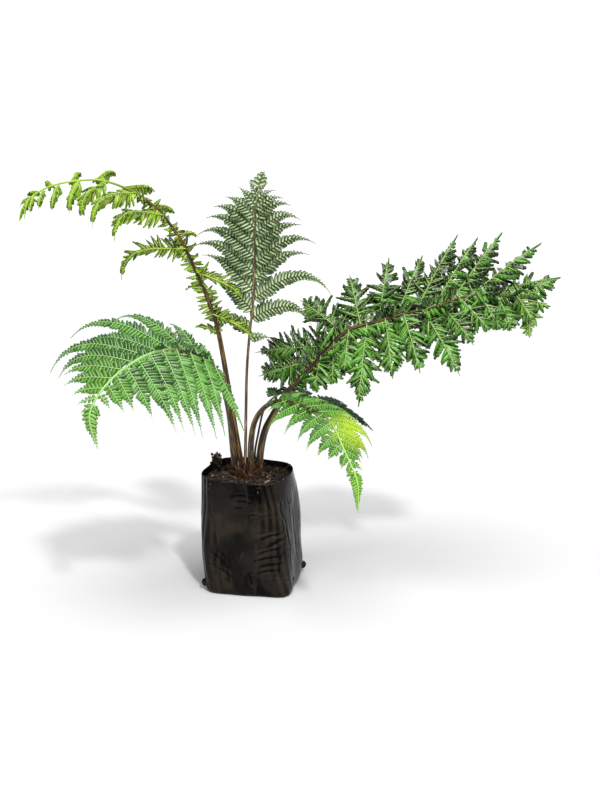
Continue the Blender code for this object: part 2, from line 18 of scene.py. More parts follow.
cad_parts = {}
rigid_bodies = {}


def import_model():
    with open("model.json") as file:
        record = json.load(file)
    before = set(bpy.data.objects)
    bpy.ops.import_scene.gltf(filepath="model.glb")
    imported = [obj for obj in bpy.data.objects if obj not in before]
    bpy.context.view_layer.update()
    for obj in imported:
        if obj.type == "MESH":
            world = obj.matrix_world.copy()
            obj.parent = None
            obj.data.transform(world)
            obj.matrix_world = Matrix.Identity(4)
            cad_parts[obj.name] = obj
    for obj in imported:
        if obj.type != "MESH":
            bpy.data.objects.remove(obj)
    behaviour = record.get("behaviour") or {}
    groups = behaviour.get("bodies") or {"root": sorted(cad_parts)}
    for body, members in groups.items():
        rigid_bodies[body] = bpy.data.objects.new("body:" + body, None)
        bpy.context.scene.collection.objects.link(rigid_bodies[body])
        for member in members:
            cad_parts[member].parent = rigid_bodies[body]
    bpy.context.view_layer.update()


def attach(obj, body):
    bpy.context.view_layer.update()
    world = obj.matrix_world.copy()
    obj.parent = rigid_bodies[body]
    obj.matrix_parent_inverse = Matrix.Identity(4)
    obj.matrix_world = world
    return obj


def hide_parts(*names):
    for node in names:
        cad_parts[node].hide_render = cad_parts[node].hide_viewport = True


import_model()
MM = 0.001

# %% [markdown]
# ## The camera, the floor and the light
# The plant was seen from a little above, from 1.7 m away. The lens is worked out from the focal
# length in pixels of an image 800 pixels tall, because Blender's sensor width goes with the
# longer side. A backdrop could be a plain plane, but its far edge would show, so this floor
# curves up behind. A soft sun from nearly overhead gives the wide faint shadows, a clear one
# from the front right draws the leaflets, and a white sky fills in the rest.

# %% Camera
CAMERA_PLACE = (0.082, -1.70, 0.69)
CAMERA_PITCH = math.radians(12.7)
FOCAL_PIXELS = 1076
IMAGE_HEIGHT = 800
SENSOR = 36.0

camera_data = bpy.data.cameras.new("camera")
camera_data.sensor_width = SENSOR
camera_data.lens = SENSOR * FOCAL_PIXELS / IMAGE_HEIGHT
camera = bpy.data.objects.new("camera", camera_data)
camera.location = CAMERA_PLACE
camera.rotation_euler = (math.pi / 2 - CAMERA_PITCH, 0, 0)
bpy.context.scene.collection.objects.link(camera)
bpy.context.scene.camera = camera
print("lens in mm:", round(camera_data.lens, 1))

# %% Floor
FLOOR_GREY = (0.64, 0.64, 0.643, 1)
FLOOR_HALF = 6.0
FLOOR_DROP = 0.0004
SWEEP_START = 2.2
SWEEP_RADIUS = 1.6
SWEEP_STEPS = 12
SWEEP_TURN = math.radians(48)
SLOPE_LENGTH = 6.0


def build_floor():
    """A strip that runs level towards the back, and then curves up to a slope."""
    profile = [(-FLOOR_HALF, -FLOOR_DROP), (SWEEP_START, -FLOOR_DROP)]
    for k in range(1, SWEEP_STEPS + 1):
        turn = SWEEP_TURN * k / SWEEP_STEPS
        y = SWEEP_START + SWEEP_RADIUS * math.sin(turn)
        profile.append((y, SWEEP_RADIUS * (1 - math.cos(turn)) - FLOOR_DROP))
    y, z = profile[-1]
    c, s = math.cos(SWEEP_TURN), math.sin(SWEEP_TURN)
    profile.append((y + SLOPE_LENGTH * c, z + SLOPE_LENGTH * s))
    verts = [(x, y, z) for y, z in profile for x in (-FLOOR_HALF, FLOOR_HALF)]
    faces = [(2 * k, 2 * k + 1, 2 * k + 3, 2 * k + 2) for k in range(len(profile) - 1)]
    mesh = bpy.data.meshes.new("floor")
    mesh.from_pydata(verts, [], faces)
    mesh.shade_smooth()
    floor = bpy.data.objects.new("floor", mesh)
    bpy.context.scene.collection.objects.link(floor)
    paint = bpy.data.materials.new("pale_floor")
    paint.use_nodes = True
    shader = paint.node_tree.nodes["Principled BSDF"]
    shader.inputs["Base Color"].default_value = FLOOR_GREY
    shader.inputs["Roughness"].default_value = 0.9
    mesh.materials.append(paint)
    return floor


print("floor:", len(build_floor().data.polygons), "faces")

# %% Sky
SKY_STRENGTH = 0.4

bpy.context.scene.view_settings.view_transform = "Standard"
world = bpy.data.worlds.new("white_sky")
world.use_nodes = True
world.node_tree.nodes["Background"].inputs["Color"].default_value = (1, 1, 1, 1)
world.node_tree.nodes["Background"].inputs["Strength"].default_value = SKY_STRENGTH
bpy.context.scene.world = world
print("sky strength:", SKY_STRENGTH)

# %% Lights
SOFT_FROM = Vector((0.0, -0.34, 1.1))
CLEAR_FROM = Vector((0.4, -0.95, 1.1))
SOFT_SUN = (2.3, math.radians(40))
CLEAR_SUN = (2.0, math.radians(5))


def add_sun(name, source, strength, softness):
    """A sun that shines from the way of source. Softness is its width in the sky."""
    light = bpy.data.lights.new(name, "SUN")
    light.energy = strength
    light.angle = softness
    lamp = bpy.data.objects.new(name, light)
    lamp.rotation_euler = (-source).to_track_quat("-Z", "Y").to_euler()
    bpy.context.scene.collection.objects.link(lamp)
    return lamp


add_sun("soft_sun", SOFT_FROM, *SOFT_SUN)
add_sun("clear_sun", CLEAR_FROM, *CLEAR_SUN)
print("sun stands", round(math.degrees(math.asin(CLEAR_FROM.normalized().z))), "degrees high")

# %% [markdown]
# ## Directions and smooth lines
# A real frond's stem bends smoothly, and a few points are enough to describe it. Blender's
# curves could draw it, but their length and direction are hard to read from a script. So the
# same spline rule as in the solids is used here, and the fine fronds lie where the solid ones
# are.

# %% Directions
UP = np.array([0.0, 0.0, 1.0])


def unit(v):
    """The same way, with length 1."""
    return v / np.linalg.norm(v)


def keyed(values, u):
    """The value at u, 0 to 1, of a list spread evenly."""
    return float(np.interp(u, np.linspace(0, 1, len(values)), values))


def keyed_vector(rows, u):
    """The row at u, 0 to 1, of an array of rows spread evenly."""
    place = min(max(u, 0.0), 1.0) * (len(rows) - 1)
    low = min(int(place), len(rows) - 2)
    return rows[low] + (rows[low + 1] - rows[low]) * (place - low)


print("a quarter of the way from 1 over 3 to 4:", keyed((1, 3, 4), 0.25))

# %% Smooth lines
LINE_STEPS = 10


class Line:
    """A smooth way through points in mm, read by the distance along it in metres."""

    def __init__(self, points):
        p = [np.array(q, float) * MM for q in points]
        p = [2 * p[0] - p[1], *p, 2 * p[-1] - p[-2]]
        made = []
        for a, b, c, d in zip(p, p[1:], p[2:], p[3:]):
            for t in np.arange(LINE_STEPS) / LINE_STEPS:
                square = (2 * a - 5 * b + 4 * c - d) * t**2
                cube = (3 * b - a - 3 * c + d) * t**3
                made.append(0.5 * (2 * b + (c - a) * t + square + cube))
        self.points = np.array([*made, p[-2]])
        steps = np.linalg.norm(np.diff(self.points, axis=0), axis=1)
        self.far = np.concatenate([[0], np.cumsum(steps)])
        self.length = self.far[-1]

    def at(self, s):
        return np.array([np.interp(s, self.far, self.points[:, k]) for k in range(3)])

    def way(self, s, reach=0.004):
        return unit(self.at(min(s + reach, self.length)) - self.at(max(s - reach, 0)))


print("a line over a corner, in mm:", round(Line([(0, 0, 0), (50, 0, 0), (50, 50, 0)]).length / MM))

# %% [markdown]
# ## The six fronds, as sizes
# Each frond is described by the way of its stem, the thickness of the stem, and lists that
# run from the lowest pinna to the tip: the way the upper side looks, and each side's length,
# angle and droop. The second table holds what only the fine fronds need: the leaflets' length,
# spacing and width, their teeth, and how they cup, curl and scatter.

# %% The fronds' main sizes
FRONDS = {
    "lime": dict(
        spine=[(-11, 6, 155), (-14, 8, 187), (-19, 7, 221), (-29, 8, 288), (-42, 5, 378),
               (-52, 0, 434), (-65, -6, 475), (-78, -12, 510), (-103, -24, 567), (-135, -35, 612),
               (-167, -47, 638), (-216, -63, 657), (-271, -74, 653), (-305, -80, 640),
               (-328, -84, 619), (-335, -84, 597)],
        stem=(5.6, 3.8, 0.9), first=0.365, pairs=11, crowd=2.0, tail=0.075, offset=0.4, hook=3.4,
        bare=0.012, hang=0.7, twist=8,
        face=[(-0.5, -0.75, 0.2), (-0.3, -0.8, 0.45), (0, -0.45, 0.9), (0, -0.4, 0.9),
              (-0.1, -0.4, 0.9), (-0.4, -0.4, 0.8)],
        left=dict(length=[45, 32, 128, 130, 132, 106, 77, 64, 42, 37, 38],
                  angle=[70, 70, 60, 50, 48, 58, 70, 72, 68, 62, 55],
                  droop=[1.2, 1.2, 3.8, 3.8, 3.5, 3.2, 3.0, 2.8, 2.6, 2.4, 2.4]),
        right=dict(length=[80, 84, 46, 60, 82, 70, 50, 42, 34, 28, 22],
                   angle=[122, 134, 116, 130, 128, 120, 110, 80, 60, 50, 45],
                   droop=[1.0, 1.0, 1.2, 1.2, 1.0, 1.4, 1.6, 2.0, 2.0, 2.0, 2.0]),
    ),
    "upright": dict(
        spine=[(-6, -6, 155), (-8, -7, 191), (-7, -6, 225), (-5, -4, 308), (-3, -2, 363),
               (2, 0, 419), (8, 4, 469), (10, 9, 518), (11, 15, 570), (12, 21, 613),
               (17, 26, 643), (25, 30, 670)],
        stem=(2.6, 2.1, 0.8), first=0.487, pairs=12, crowd=1.6, tail=0.09, offset=0.45, hook=1.2,
        bare=0.012, hang=0.0, twist=14,
        face=[(0.25, 1, 0.1), (0.2, 1, 0.1)],
        left=dict(length=[38, 118, 142, 108, 112, 88, 82, 66, 52, 36, 24, 14],
                  angle=[70, 54, 49, 44, 46, 46, 45, 45, 45, 42, 34, 25],
                  droop=[0.8, 2.2, 2.1, 1.3, 1.5, 1.1, 1.6, 1.5, 1.2, 0.8, 0.3, 0]),
        right=dict(length=[62, 90, 110, 122, 113, 94, 84, 62, 44, 30, 18, 12],
                   angle=[66, 52, 46, 46, 45, 47, 47, 46, 42, 38, 30, 25],
                   droop=[0.5, 0.6, 1.0, 1.4, 1.5, 1.2, 1.0, 0.7, 0.4, 0.2, 0, 0]),
    ),
    "left": dict(
        spine=[(-19, -4, 155), (-23, -5, 190), (-27, -5, 224), (-31, -8, 276), (-37, -16, 317),
               (-46, -30, 354), (-63, -52, 381), (-86, -78, 398), (-112, -105, 408),
               (-135, -132, 408), (-153, -155, 403), (-170, -178, 394), (-184, -198, 384),
               (-201, -220, 365), (-212, -234, 342), (-211, -238, 320), (-202, -240, 290)],
        stem=(5.6, 3.8, 0.9), first=0.405, pairs=12, crowd=1.25, tail=0.17, offset=0.4, hook=1.6,
        bare=0.075, hang=0.1, twist=-24,
        face=[(0.7, -0.15, 0.6), (0.55, -0.35, 0.7), (0.42, -0.4, 0.8), (0.35, -0.45, 0.8),
              (-0.1, -1, 0.3), (-0.2, -1, 0)],
        left=dict(length=[112, 152, 162, 165, 152, 146, 140, 98, 64, 50, 31, 20],
                  angle=[120, 85, 86, 81, 72, 72, 70, 66, 63, 68, 66, 50],
                  droop=[0.5, 0.5, 0.6, 0.6, 0.5, 0.4]),
        right=dict(length=[60, 84, 125, 165, 125, 160, 128, 84, 70, 47, 31, 20],
                   angle=[85, 75, 54, 44, 48, 54, 56, 54, 52, 50, 50, 48],
                   droop=[1.0, 1.0, 1.5, 1.7, 1.6, 2.0, 1.9, 1.0, 0.9, 0.8, 0.6, 0.6]),
    ),
    "right": dict(
        spine=[(11, -2, 155), (15, -2, 190), (17, -2, 220), (24, -1, 254), (36, 0, 279),
               (59, 0, 317), (92, 0, 351), (125, 0, 389), (155, -2, 419), (190, -4, 432),
               (225, -6, 442), (256, -8, 450), (287, -10, 458), (313, -14, 467), (341, -18, 477),
               (370, -22, 482), (397, -28, 479), (423, -38, 479), (439, -46, 472),
               (440, -52, 458), (436, -54, 438), (438, -54, 417)],
        stem=(6.6, 4.4, 1.0), first=0.37, pairs=13, crowd=1.0, tail=0.09, offset=0.35, hook=1.4,
        bare=0.1, hang=0.15, twist=14,
        face=[(-0.3, -0.8, 0.6), (0, -0.8, 0.6), (0, -0.7, 0.7), (0.2, -0.7, 0.6)],
        left=dict(length=[112, 140, 104, 100, 118, 118, 156, 140, 142, 142, 118, 78, 36],
                  angle=[142, 134, 106, 90, 70, 60, 53, 47, 41, 34, 31, 30, 28],
                  droop=[0.1, 0.15, 0.2, 0.2, 0.2, 0.2]),
        right=dict(length=[58, 66, 70, 148, 104, 104, 136, 92, 80, 74, 68, 50, 28],
                   angle=[148, 136, 118, 108, 96, 88, 74, 66, 64, 64, 60, 50, 45],
                   droop=[0.2, 0.2, 0.3, 0.4]),
    ),
    "front": dict(
        spine=[(2, -11, 155), (3, -12, 192), (2, -12, 225), (7, -15, 268), (21, -25, 296),
               (43, -44, 314), (70, -70, 318), (100, -100, 314), (124, -130, 307),
               (137, -158, 291), (146, -184, 274), (157, -206, 254), (165, -222, 231),
               (165, -230, 191)],
        stem=(6.0, 3.2, 0.8), first=0.42, pairs=10, crowd=1.25, tail=0.2, offset=0.4, hook=1.2,
        bare=0.012, hang=0.0, twist=-14,
        face=[(-0.4, -0.1, 0.9), (-0.2, -0.2, 0.9), (0.0, -0.35, 0.9), (0.3, -0.6, 0.7),
              (0.6, -0.7, 0.3)],
        left=dict(length=[44, 54, 66, 66, 84, 72, 46, 32, 24, 15],
                  angle=[70, 50, 48, 46, 44, 46, 48, 46, 40, 35],
                  droop=[0.8, 0.8, 1.0, 1.3, 1.7, 1.8, 1.4, 0.8, 0.6, 0.6]),
        right=dict(length=[36, 66, 60, 64, 66, 54, 38, 30, 22, 16],
                   angle=[135, 112, 100, 88, 72, 62, 56, 42, 40, 40],
                   droop=[1.0, 1.2, 1.4, 1.3, 1.3, 1.2, 1.0, 0.6, 0.6, 0.6]),
    ),
    "back": dict(
        spine=[(6, 7, 155), (8, 8, 190), (8, 8, 218), (13, 10, 246), (21, 14, 282), (31, 22, 299),
               (54, 36, 311), (82, 56, 301), (112, 76, 290), (144, 94, 277), (172, 108, 260),
               (193, 118, 243), (210, 126, 223)],
        stem=(1.9, 1.6, 0.7), first=0.44, pairs=9, crowd=1.3, tail=0.16, offset=0.4, hook=1.0,
        bare=0.014, hang=0.0, twist=8,
        face=[(-0.3, -0.4, 0.9), (0, -0.4, 0.9), (0.2, -0.3, 0.9)],
        left=dict(length=[45, 60, 80, 112, 70, 48, 34, 24, 16],
                  angle=[80, 72, 50, 26, 32, 35, 32, 30, 28],
                  droop=[0.5, 0.5, 0.5]),
        right=dict(length=[45, 55, 60, 60, 52, 40, 30, 20, 14],
                   angle=[85, 75, 60, 50, 45, 40, 35, 30, 28],
                   droop=[0.4, 0.4, 0.4]),
    ),
}

# %% What only the fine fronds need
# Lengths in mm, scatter in degrees. share, room and width are shares of the pinna's length,
# of the room between pinnae and of the spacing.
USUAL = dict(lobes=5, inner=(0.16,), outline="blunt", hang=0.0, fold=0.4, stalk=1, row="slim",
             cup=(0.05, 0.05), lean=(0.16, 0.8), swell=0.2, lower=1.0, frill=None)
FINE = {
    "lime": dict(leaflet=23, share=0.24, pitch=4.6, width=1.5, notch=0.22, swell=0.3,
                 outline="long", cup=(0.15, 1.1), lean=(0.25, 1.4), hang=0.5, curl=0.35, fold=0.6,
                 scatter=13, room=1.5, rib=0.9, tail=11, stalk=2, ribbon=6.0, row="even",
                 frill=(0.0, 0.66, 18)),
    "upright": dict(leaflet=18, share=0.24, pitch=5.4, width=1.3, notch=0.14, inner=(0.13, 0.55),
                    cup=(0.1, 0.1), lean=(0.25, 0.8), curl=0.06, scatter=4, room=0.95, rib=1.0,
                    tail=16, ribbon=5.5),
    "left": dict(leaflet=18, share=0.22, pitch=5.2, width=1.35, notch=0.18, swell=0.3, curl=0.10,
                 fold=0.45, scatter=6, room=1.35, rib=0.8, tail=15, ribbon=5.5,
                 frill=(-0.12, 0.62, 16)),
    "right": dict(leaflet=32, share=0.46, pitch=4.0, width=2.5, notch=0.3, inner=(0.14,), swell=0.5,
                  outline="long", cup=(0.25, 0.1), lean=(0.2, 0.9), hang=0.1, curl=0.3, fold=0.6,
                  scatter=20, room=2.4, rib=0.65, tail=24, ribbon=14.0, row="broad", lower=1.35,
                  frill=(-0.16, 0.9, 27)),
    "front": dict(leaflet=13, share=0.28, pitch=4.0, width=1.4, lobes=4, notch=0.16, curl=0.08,
                  scatter=5, room=1.3, rib=0.7, tail=13, ribbon=4.5, frill=(-0.12, 0.3, 16)),
    "back": dict(leaflet=15, share=0.36, pitch=5.4, width=1.25, lobes=4, notch=0.2, outline="long",
                 cup=(0.1, 0.1), lean=(0.16, 0.7), curl=0.10, scatter=10, room=1.5, rib=0.6,
                 tail=11, stalk=2, ribbon=4.5),
}
FINE = {name: {**USUAL, **own} for name, own in FINE.items()}
print(len(FRONDS), "fronds with", sum(2 * f["pairs"] for f in FRONDS.values()), "pinnae")

# %% [markdown]
# ## Where each pinna grows
# A pinna is a frond's side branch. The pinnae stand in pairs, closer towards the tip. Each one
# leaves the stem at its angle and bends down under its own weight, more towards its end. Bones
# or a bend modifier could do that after modelling, but walking along the midrib in small steps
# gives the direction at every leaflet's root as well.

# %% One pinna
PINNA_STEPS = 36
STEM_TAPER = 0.8


def face_of(frond, u, along):
    """The way the frond's upper side looks, square to its stem."""
    looks = keyed_vector(np.array(frond["face"], float), u)
    return unit(looks - looks.dot(along) * along)


def stem_radius(frond, line, s):
    """The stem narrows evenly to its first pinnae, and then fast at first."""
    foot, fork, tip = (value * MM for value in frond["stem"])
    start = line.length * frond["first"]
    if s < start:
        return foot + (fork - foot) * s / start
    return fork + (tip - fork) * ((s - start) / (line.length - start)) ** STEM_TAPER


def pinna_way(frond, side, along, face, start, angle, droop, length):
    """Points, directions and upper-side normals along one pinna's midrib."""
    turn = math.radians(angle)
    d = unit(math.cos(turn) * along + math.sin(turn) * np.cross(along, face) * side)
    n = unit(face - face.dot(d) * d)
    hook = frond["hook"]
    points, ways, normals = [start], [d], [n]
    for k in range(PINNA_STEPS):
        u = (k + 0.5) / PINNA_STEPS
        d = unit(d - UP * droop * (hook + 1) * u**hook / PINNA_STEPS)
        n = unit(n - n.dot(d) * d)
        points.append(points[-1] + d * length / PINNA_STEPS)
        ways.append(d)
        normals.append(n)
    lean = math.radians(frond["twist"]) * side
    normals = [math.cos(lean) * n + math.sin(lean) * np.cross(d, n) for n, d in zip(normals, ways)]
    return np.array(points), np.array(ways), np.array(normals)


# %% All pinnae of a frond
LAST_PAIR_BACK = 0.2
ROOT_AHEAD = 0.8
LENGTH_SPREAD = 0.04
ANGLE_SPREAD = 2.0


def after(frond, place):
    """How far along the leafy part a pinna grows, 0 to 1. They crowd towards the tip."""
    count = frond["pairs"] - LAST_PAIR_BACK
    return (1 - frond["tail"]) * (1 - max(1 - place / count, 0) ** frond["crowd"])


def pinnae(name, frond):
    """For each pinna: its points, directions and normals, length, room, place and side."""
    dice = random.Random(name)
    line = Line(frond["spine"])
    start = line.length * frond["first"]
    made = []
    for k in range(frond["pairs"]):
        for side, keys in ((-1, frond["left"]), (1, frond["right"])):
            place = k + (frond["offset"] if side > 0 else 0)
            u = after(frond, place)
            v = k / (frond["pairs"] - 1)
            s = start + (line.length - start) * u
            along = line.way(s)
            length = keyed(keys["length"], v) * MM * (1 + LENGTH_SPREAD * dice.uniform(-1, 1))
            angle = keyed(keys["angle"], v) + ANGLE_SPREAD * dice.uniform(-1, 1)
            droop = keyed(keys["droop"], v)
            face = face_of(frond, u, along)
            root = line.at(s) + face * stem_radius(frond, line, s) * ROOT_AHEAD
            way = pinna_way(frond, side, along, face, root, angle, droop, length)
            room = (line.length - start) * (after(frond, place + 1) - u)
            made.append((*way, length, room, u, side))
    return made


for name, frond in FRONDS.items():
    longest = max(length for _, _, _, length, _, _, _ in pinnae(name, frond))
    print(f"{name}: longest pinna {round(longest / MM)} mm")

# %% [markdown]
# ## Collecting a mesh
# A frond holds hundreds of leaflets. Each is worked out as a small array of points, and all of
# them go into one mesh at the end, which is much faster than making and joining objects.
# Every point also carries what the finishes read: where it is on its leaflet, and where the
# leaflet is on the frond.

# %% Growth
SHARP_ANGLE = math.radians(55)


class Growth:
    """Gathers closed shapes for one mesh, with marks for the finishes."""

    def __init__(self):
        self.points = []
        self.faces = []
        self.marks = []
        self.places = []
        self.count = 0

    def add(self, points, faces, marks, places):
        for block in faces:
            self.faces.extend((block + self.count).tolist())
        self.points.append(points)
        self.marks.append(marks)
        self.places.append(places)
        self.count += len(points)

    def piece(self, name, paint, slot, *nodes):
        """The finished object. It rides on the plant's body and stands for the solid nodes."""
        mesh = bpy.data.meshes.new(name)
        mesh.from_pydata(np.concatenate(self.points), [], self.faces)
        for key, rows in (("mark", self.marks), ("place", self.places)):
            layer = mesh.attributes.new(key, "FLOAT_VECTOR", "POINT")
            layer.data.foreach_set("vector", np.concatenate(rows).astype(np.float32).ravel())
        mesh.shade_smooth()
        mesh.set_sharp_from_angle(angle=SHARP_ANGLE)
        mesh.materials.append(paint)
        obj = bpy.data.objects.new(name, mesh)
        bpy.context.scene.collection.objects.link(obj)
        dress(obj, slot, *nodes)
        triangles = sum(len(face) - 2 for face in self.faces)
        print(f"{name}: {triangles} triangles")
        return obj


def dress(obj, slot, *nodes):
    """Sets a piece on the plant's body, in place of its solid nodes. The slot is not used."""
    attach(obj, "root")
    if nodes:
        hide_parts(*nodes)


def ring_faces(count, sides):
    """Quads between rings of points that close on themselves, and a cap at each end."""
    index = np.arange(count * sides).reshape(count, sides)
    ahead = np.roll(index, -1, axis=1)
    quads = np.stack([index[:-1], ahead[:-1], ahead[1:], index[1:]], 2).reshape(-1, 4)
    return quads, index[:1, ::-1], index[-1:]


def rows_of(count, *values):
    """The same three numbers for every point, or an array where a value is one."""
    made = np.empty((count, 3))
    for k, value in enumerate(values):
        made[:, k] = value
    return made


# %% [markdown]
# ## One leaflet
# A real leaflet is a thin blade with a pale midrib, a toothed edge and soft swellings between
# its veins. A flat card with a picture of a leaf would be light, but it has no edge and no
# underside. So it is a closed lens here: rows of points across it on the upper side, the same
# on the underside, which share the points of the edge. Every second row is a tooth and the
# others are notches. The midrib stands out below and lies in a groove above.

# %% Outlines
OUTLINES = {
    "long": (0.72, 0.95, 1.0, 1.0, 0.95, 0.87, 0.76, 0.62, 0.45, 0.25, 0.05),
    "blunt": (0.85, 0.97, 1.0, 1.0, 1.0, 0.97, 0.92, 0.82, 0.66, 0.42, 0.12),
    "ribbon": (1.0, 0.93, 0.82, 0.7, 0.57, 0.45, 0.34, 0.25, 0.17, 0.1, 0.03),
}
print("outlines:", ", ".join(OUTLINES))

# %% Leaflet
TOOTH_LEAN = 0.55
BLADE_THICK = 0.00022
RIB_THICK = 0.0006
THIN_TIP = 0.6
HOLLOW = 0.6
LAST_ROW = 0.94
CUP_POWER = 1.5
TIP_CUP = -0.2
SWEEP = 0.10


class Leaflet:
    """The shape of a leaflet of length 1 and width 1, and its faces."""

    def __init__(self, lobes, notch, inner, outline, swell):
        across = np.array([-1.0, *[-v for v in inner[::-1]], *inner, 1.0])
        rows = 2 * lobes + 1
        t = np.linspace(0, LAST_ROW, rows)
        tooth = np.arange(rows) % 2
        half = np.array([keyed(OUTLINES[outline], u) for u in t]) / 2
        edge = half * np.where(tooth == 1, 1.0, 1 - notch)
        lean = np.where(tooth == 1, TOOTH_LEAN, 0.0) / rows
        columns = len(across)
        ring = [*range(columns), *range(columns - 2, 0, -1)]
        under = np.array([0.5, *[0.0] * (columns - 2), 0.5, *[1.0] * (columns - 2)])
        v = across[ring]
        is_edge = np.abs(v) == 1
        near_rib = np.abs(v) <= inner[0]
        below = np.arange(len(ring)) >= columns
        self.x = t[:, None] + np.where(is_edge, lean[:, None], lean[:, None] * np.abs(v) ** 2)
        self.y = np.where(is_edge, v * edge[:, None], v * half[:, None] * (1 - notch))
        self.cup = -np.tile(np.abs(v) ** CUP_POWER, (rows, 1)) * (self.y != 0)
        thick = np.where(near_rib, RIB_THICK, BLADE_THICK) * below
        puff = np.where(near_rib | (tooth[:, None] == 0), -HOLLOW, 1.0) * swell * MM
        self.z = np.where(is_edge, 0.0, puff * half[:, None] * 2)
        self.z = self.z - thick * (1 - THIN_TIP * t[:, None])
        self.mark = np.stack([np.tile(t[:, None], (1, len(ring))), np.tile(v, (rows, 1))], 2)
        self.under = np.tile(under, (rows, 1))
        self.flat()
        self.faces = self.topology(rows, len(ring))

    def flat(self):
        """Adds the tip as a last point, and makes every table one long row."""
        self.x = np.append(self.x.ravel(), 1.0)
        self.y = np.append(self.y.ravel(), 0.0)
        self.cup = np.append(self.cup.ravel(), TIP_CUP)
        self.z = np.append(self.z.ravel(), 0.0)
        self.mark = np.vstack([self.mark.reshape(-1, 2), [[1.0, 0.0]]])
        self.under = np.append(self.under.ravel(), 0.5)

    @staticmethod
    def topology(rows, ring):
        """Quads between the rows, triangles to the tip, and a fan that closes the base."""
        quads = []
        for s in range(rows - 1):
            for j in range(ring):
                k = (j + 1) % ring
                a, b = s * ring, (s + 1) * ring
                quads.append((a + j, b + j, b + k, a + k))
        last, tip = (rows - 1) * ring, rows * ring
        triangles = [(last + j, tip, last + (j + 1) % ring) for j in range(ring)]
        triangles += [(0, k, k + 1) for k in range(1, ring - 1)]
        return np.array(quads), np.array(triangles)

    def grow(self, growth, base, out, y, z, size, bend, place):
        """Adds this leaflet at a place, length along out, width along y, upper side along z."""
        length, width = size
        cup, curl, sweep = bend
        x = self.x * length
        rise = self.cup * cup * width + self.z - curl * length * self.x**2
        aside = self.y * width + sweep * length * self.x**2
        points = base + x[:, None] * out + aside[:, None] * y + rise[:, None] * z
        flip = np.cross(out, y).dot(z) < 0
        faces = [block[:, ::-1] if flip else block for block in self.faces]
        u, w, chance = place
        marks = np.column_stack([self.mark, np.full(len(x), chance)])
        growth.add(points, faces, marks, rows_of(len(x), u, w, self.under))

    def wrap(self, growth, way, low, width, fold, place):
        """Adds this shape along the last part of a midrib, from the share low to its end."""
        points, ways, normals = way
        w = low + self.x * (1 - low)
        spread = np.linspace(0, 1, len(points))
        middle, d, n = (np.stack([np.interp(w, spread, rows[:, k]) for k in range(3)], 1)
                        for rows in (points, ways, normals))
        across = np.cross(n, d)
        rise = self.cup * fold * width + self.z
        body = middle + across * (self.y * width)[:, None] + n * rise[:, None]
        u, chance = place
        marks = np.column_stack([self.mark, np.full(len(w), chance)])
        growth.add(body, self.faces, marks, rows_of(len(w), u, w, self.under))


sample = Leaflet(5, 0.2, (0.16,), "long", 0.3)
print("a leaflet:", len(sample.x), "points,", sum(map(len, sample.faces)), "faces")

# %% [markdown]
# ## Stems and ribs
# A stem, a rachis and a midrib are all tapered tubes. Blender's bevelled curves would do, but
# a tube made here can carry its own marks: how far along it a point is and how far round.

# %% Tube
RIDGES = 5


def tube(growth, points, ways, normals, radii, sides, place=(0, 0, 0), ridge=0.0):
    """A closed tube. Its marks are the turn's cosine and sine, and the distance along it."""
    turn = 2 * math.pi * np.arange(sides) / sides
    sideways = np.cross(normals, ways)
    swell = 1 + ridge * np.cos(RIDGES * turn)
    c, s = np.cos(turn)[None, :, None], np.sin(turn)[None, :, None]
    ring = c * sideways[:, None] + s * normals[:, None]
    body = points[:, None] + ring * (radii[:, None] * swell)[:, :, None]
    far = np.concatenate([[0], np.cumsum(np.linalg.norm(np.diff(points, axis=0), axis=1))])
    marks = np.empty(body.shape)
    marks[:, :, 0], marks[:, :, 1], marks[:, :, 2] = np.cos(turn), np.sin(turn), far[:, None]
    count = len(points)
    faces = ring_faces(count, sides)
    growth.add(body.reshape(-1, 3), faces, marks.reshape(-1, 3), rows_of(count * sides, *place))


# %% Stem
STEM_STEP = 0.006
STEM_SIDES = 14
STEM_RIDGE = 0.07
STEM_OVERLAP = 0.001


def stem_way(line, frond, places):
    """Points, directions and upper-side normals at distances along a frond's own stem."""
    start = line.length * frond["first"]
    ways = np.array([line.way(s) for s in places])
    shares = [max(0.0, (s - start) / (line.length - start)) for s in places]
    normals = np.array([face_of(frond, u, way) for u, way in zip(shares, ways)])
    return np.array([line.at(s) for s in places]), ways, normals


def stem(growth, frond, low, high):
    """A frond's own stem between two distances along its line."""
    line = Line(frond["spine"])
    places = np.linspace(low, high, max(3, round((high - low) / STEM_STEP)))
    radii = np.array([stem_radius(frond, line, s) for s in places])
    tube(growth, *stem_way(line, frond, places), radii, STEM_SIDES, ridge=STEM_RIDGE)
    rows = growth.places[-1].reshape(len(places), STEM_SIDES, 3)
    rows[:, :, 0] = (places / line.length)[:, None]


for name, frond in FRONDS.items():
    print(f"{name}: stem {round(Line(frond['spine']).length / MM)} mm long")

# %% [markdown]
# ## Leaflets along a pinna
# The leaflets stand in two rows, longest near the root, and run together in a ribbon at the
# pinna's tip. Copies from an array modifier would look stamped, so each one is set on its own:
# it leans forward, hangs a little and scatters. Some fronds also carry loose leaflets along
# their own stem, like a frill, where the real one has many small leaves in a tangle.

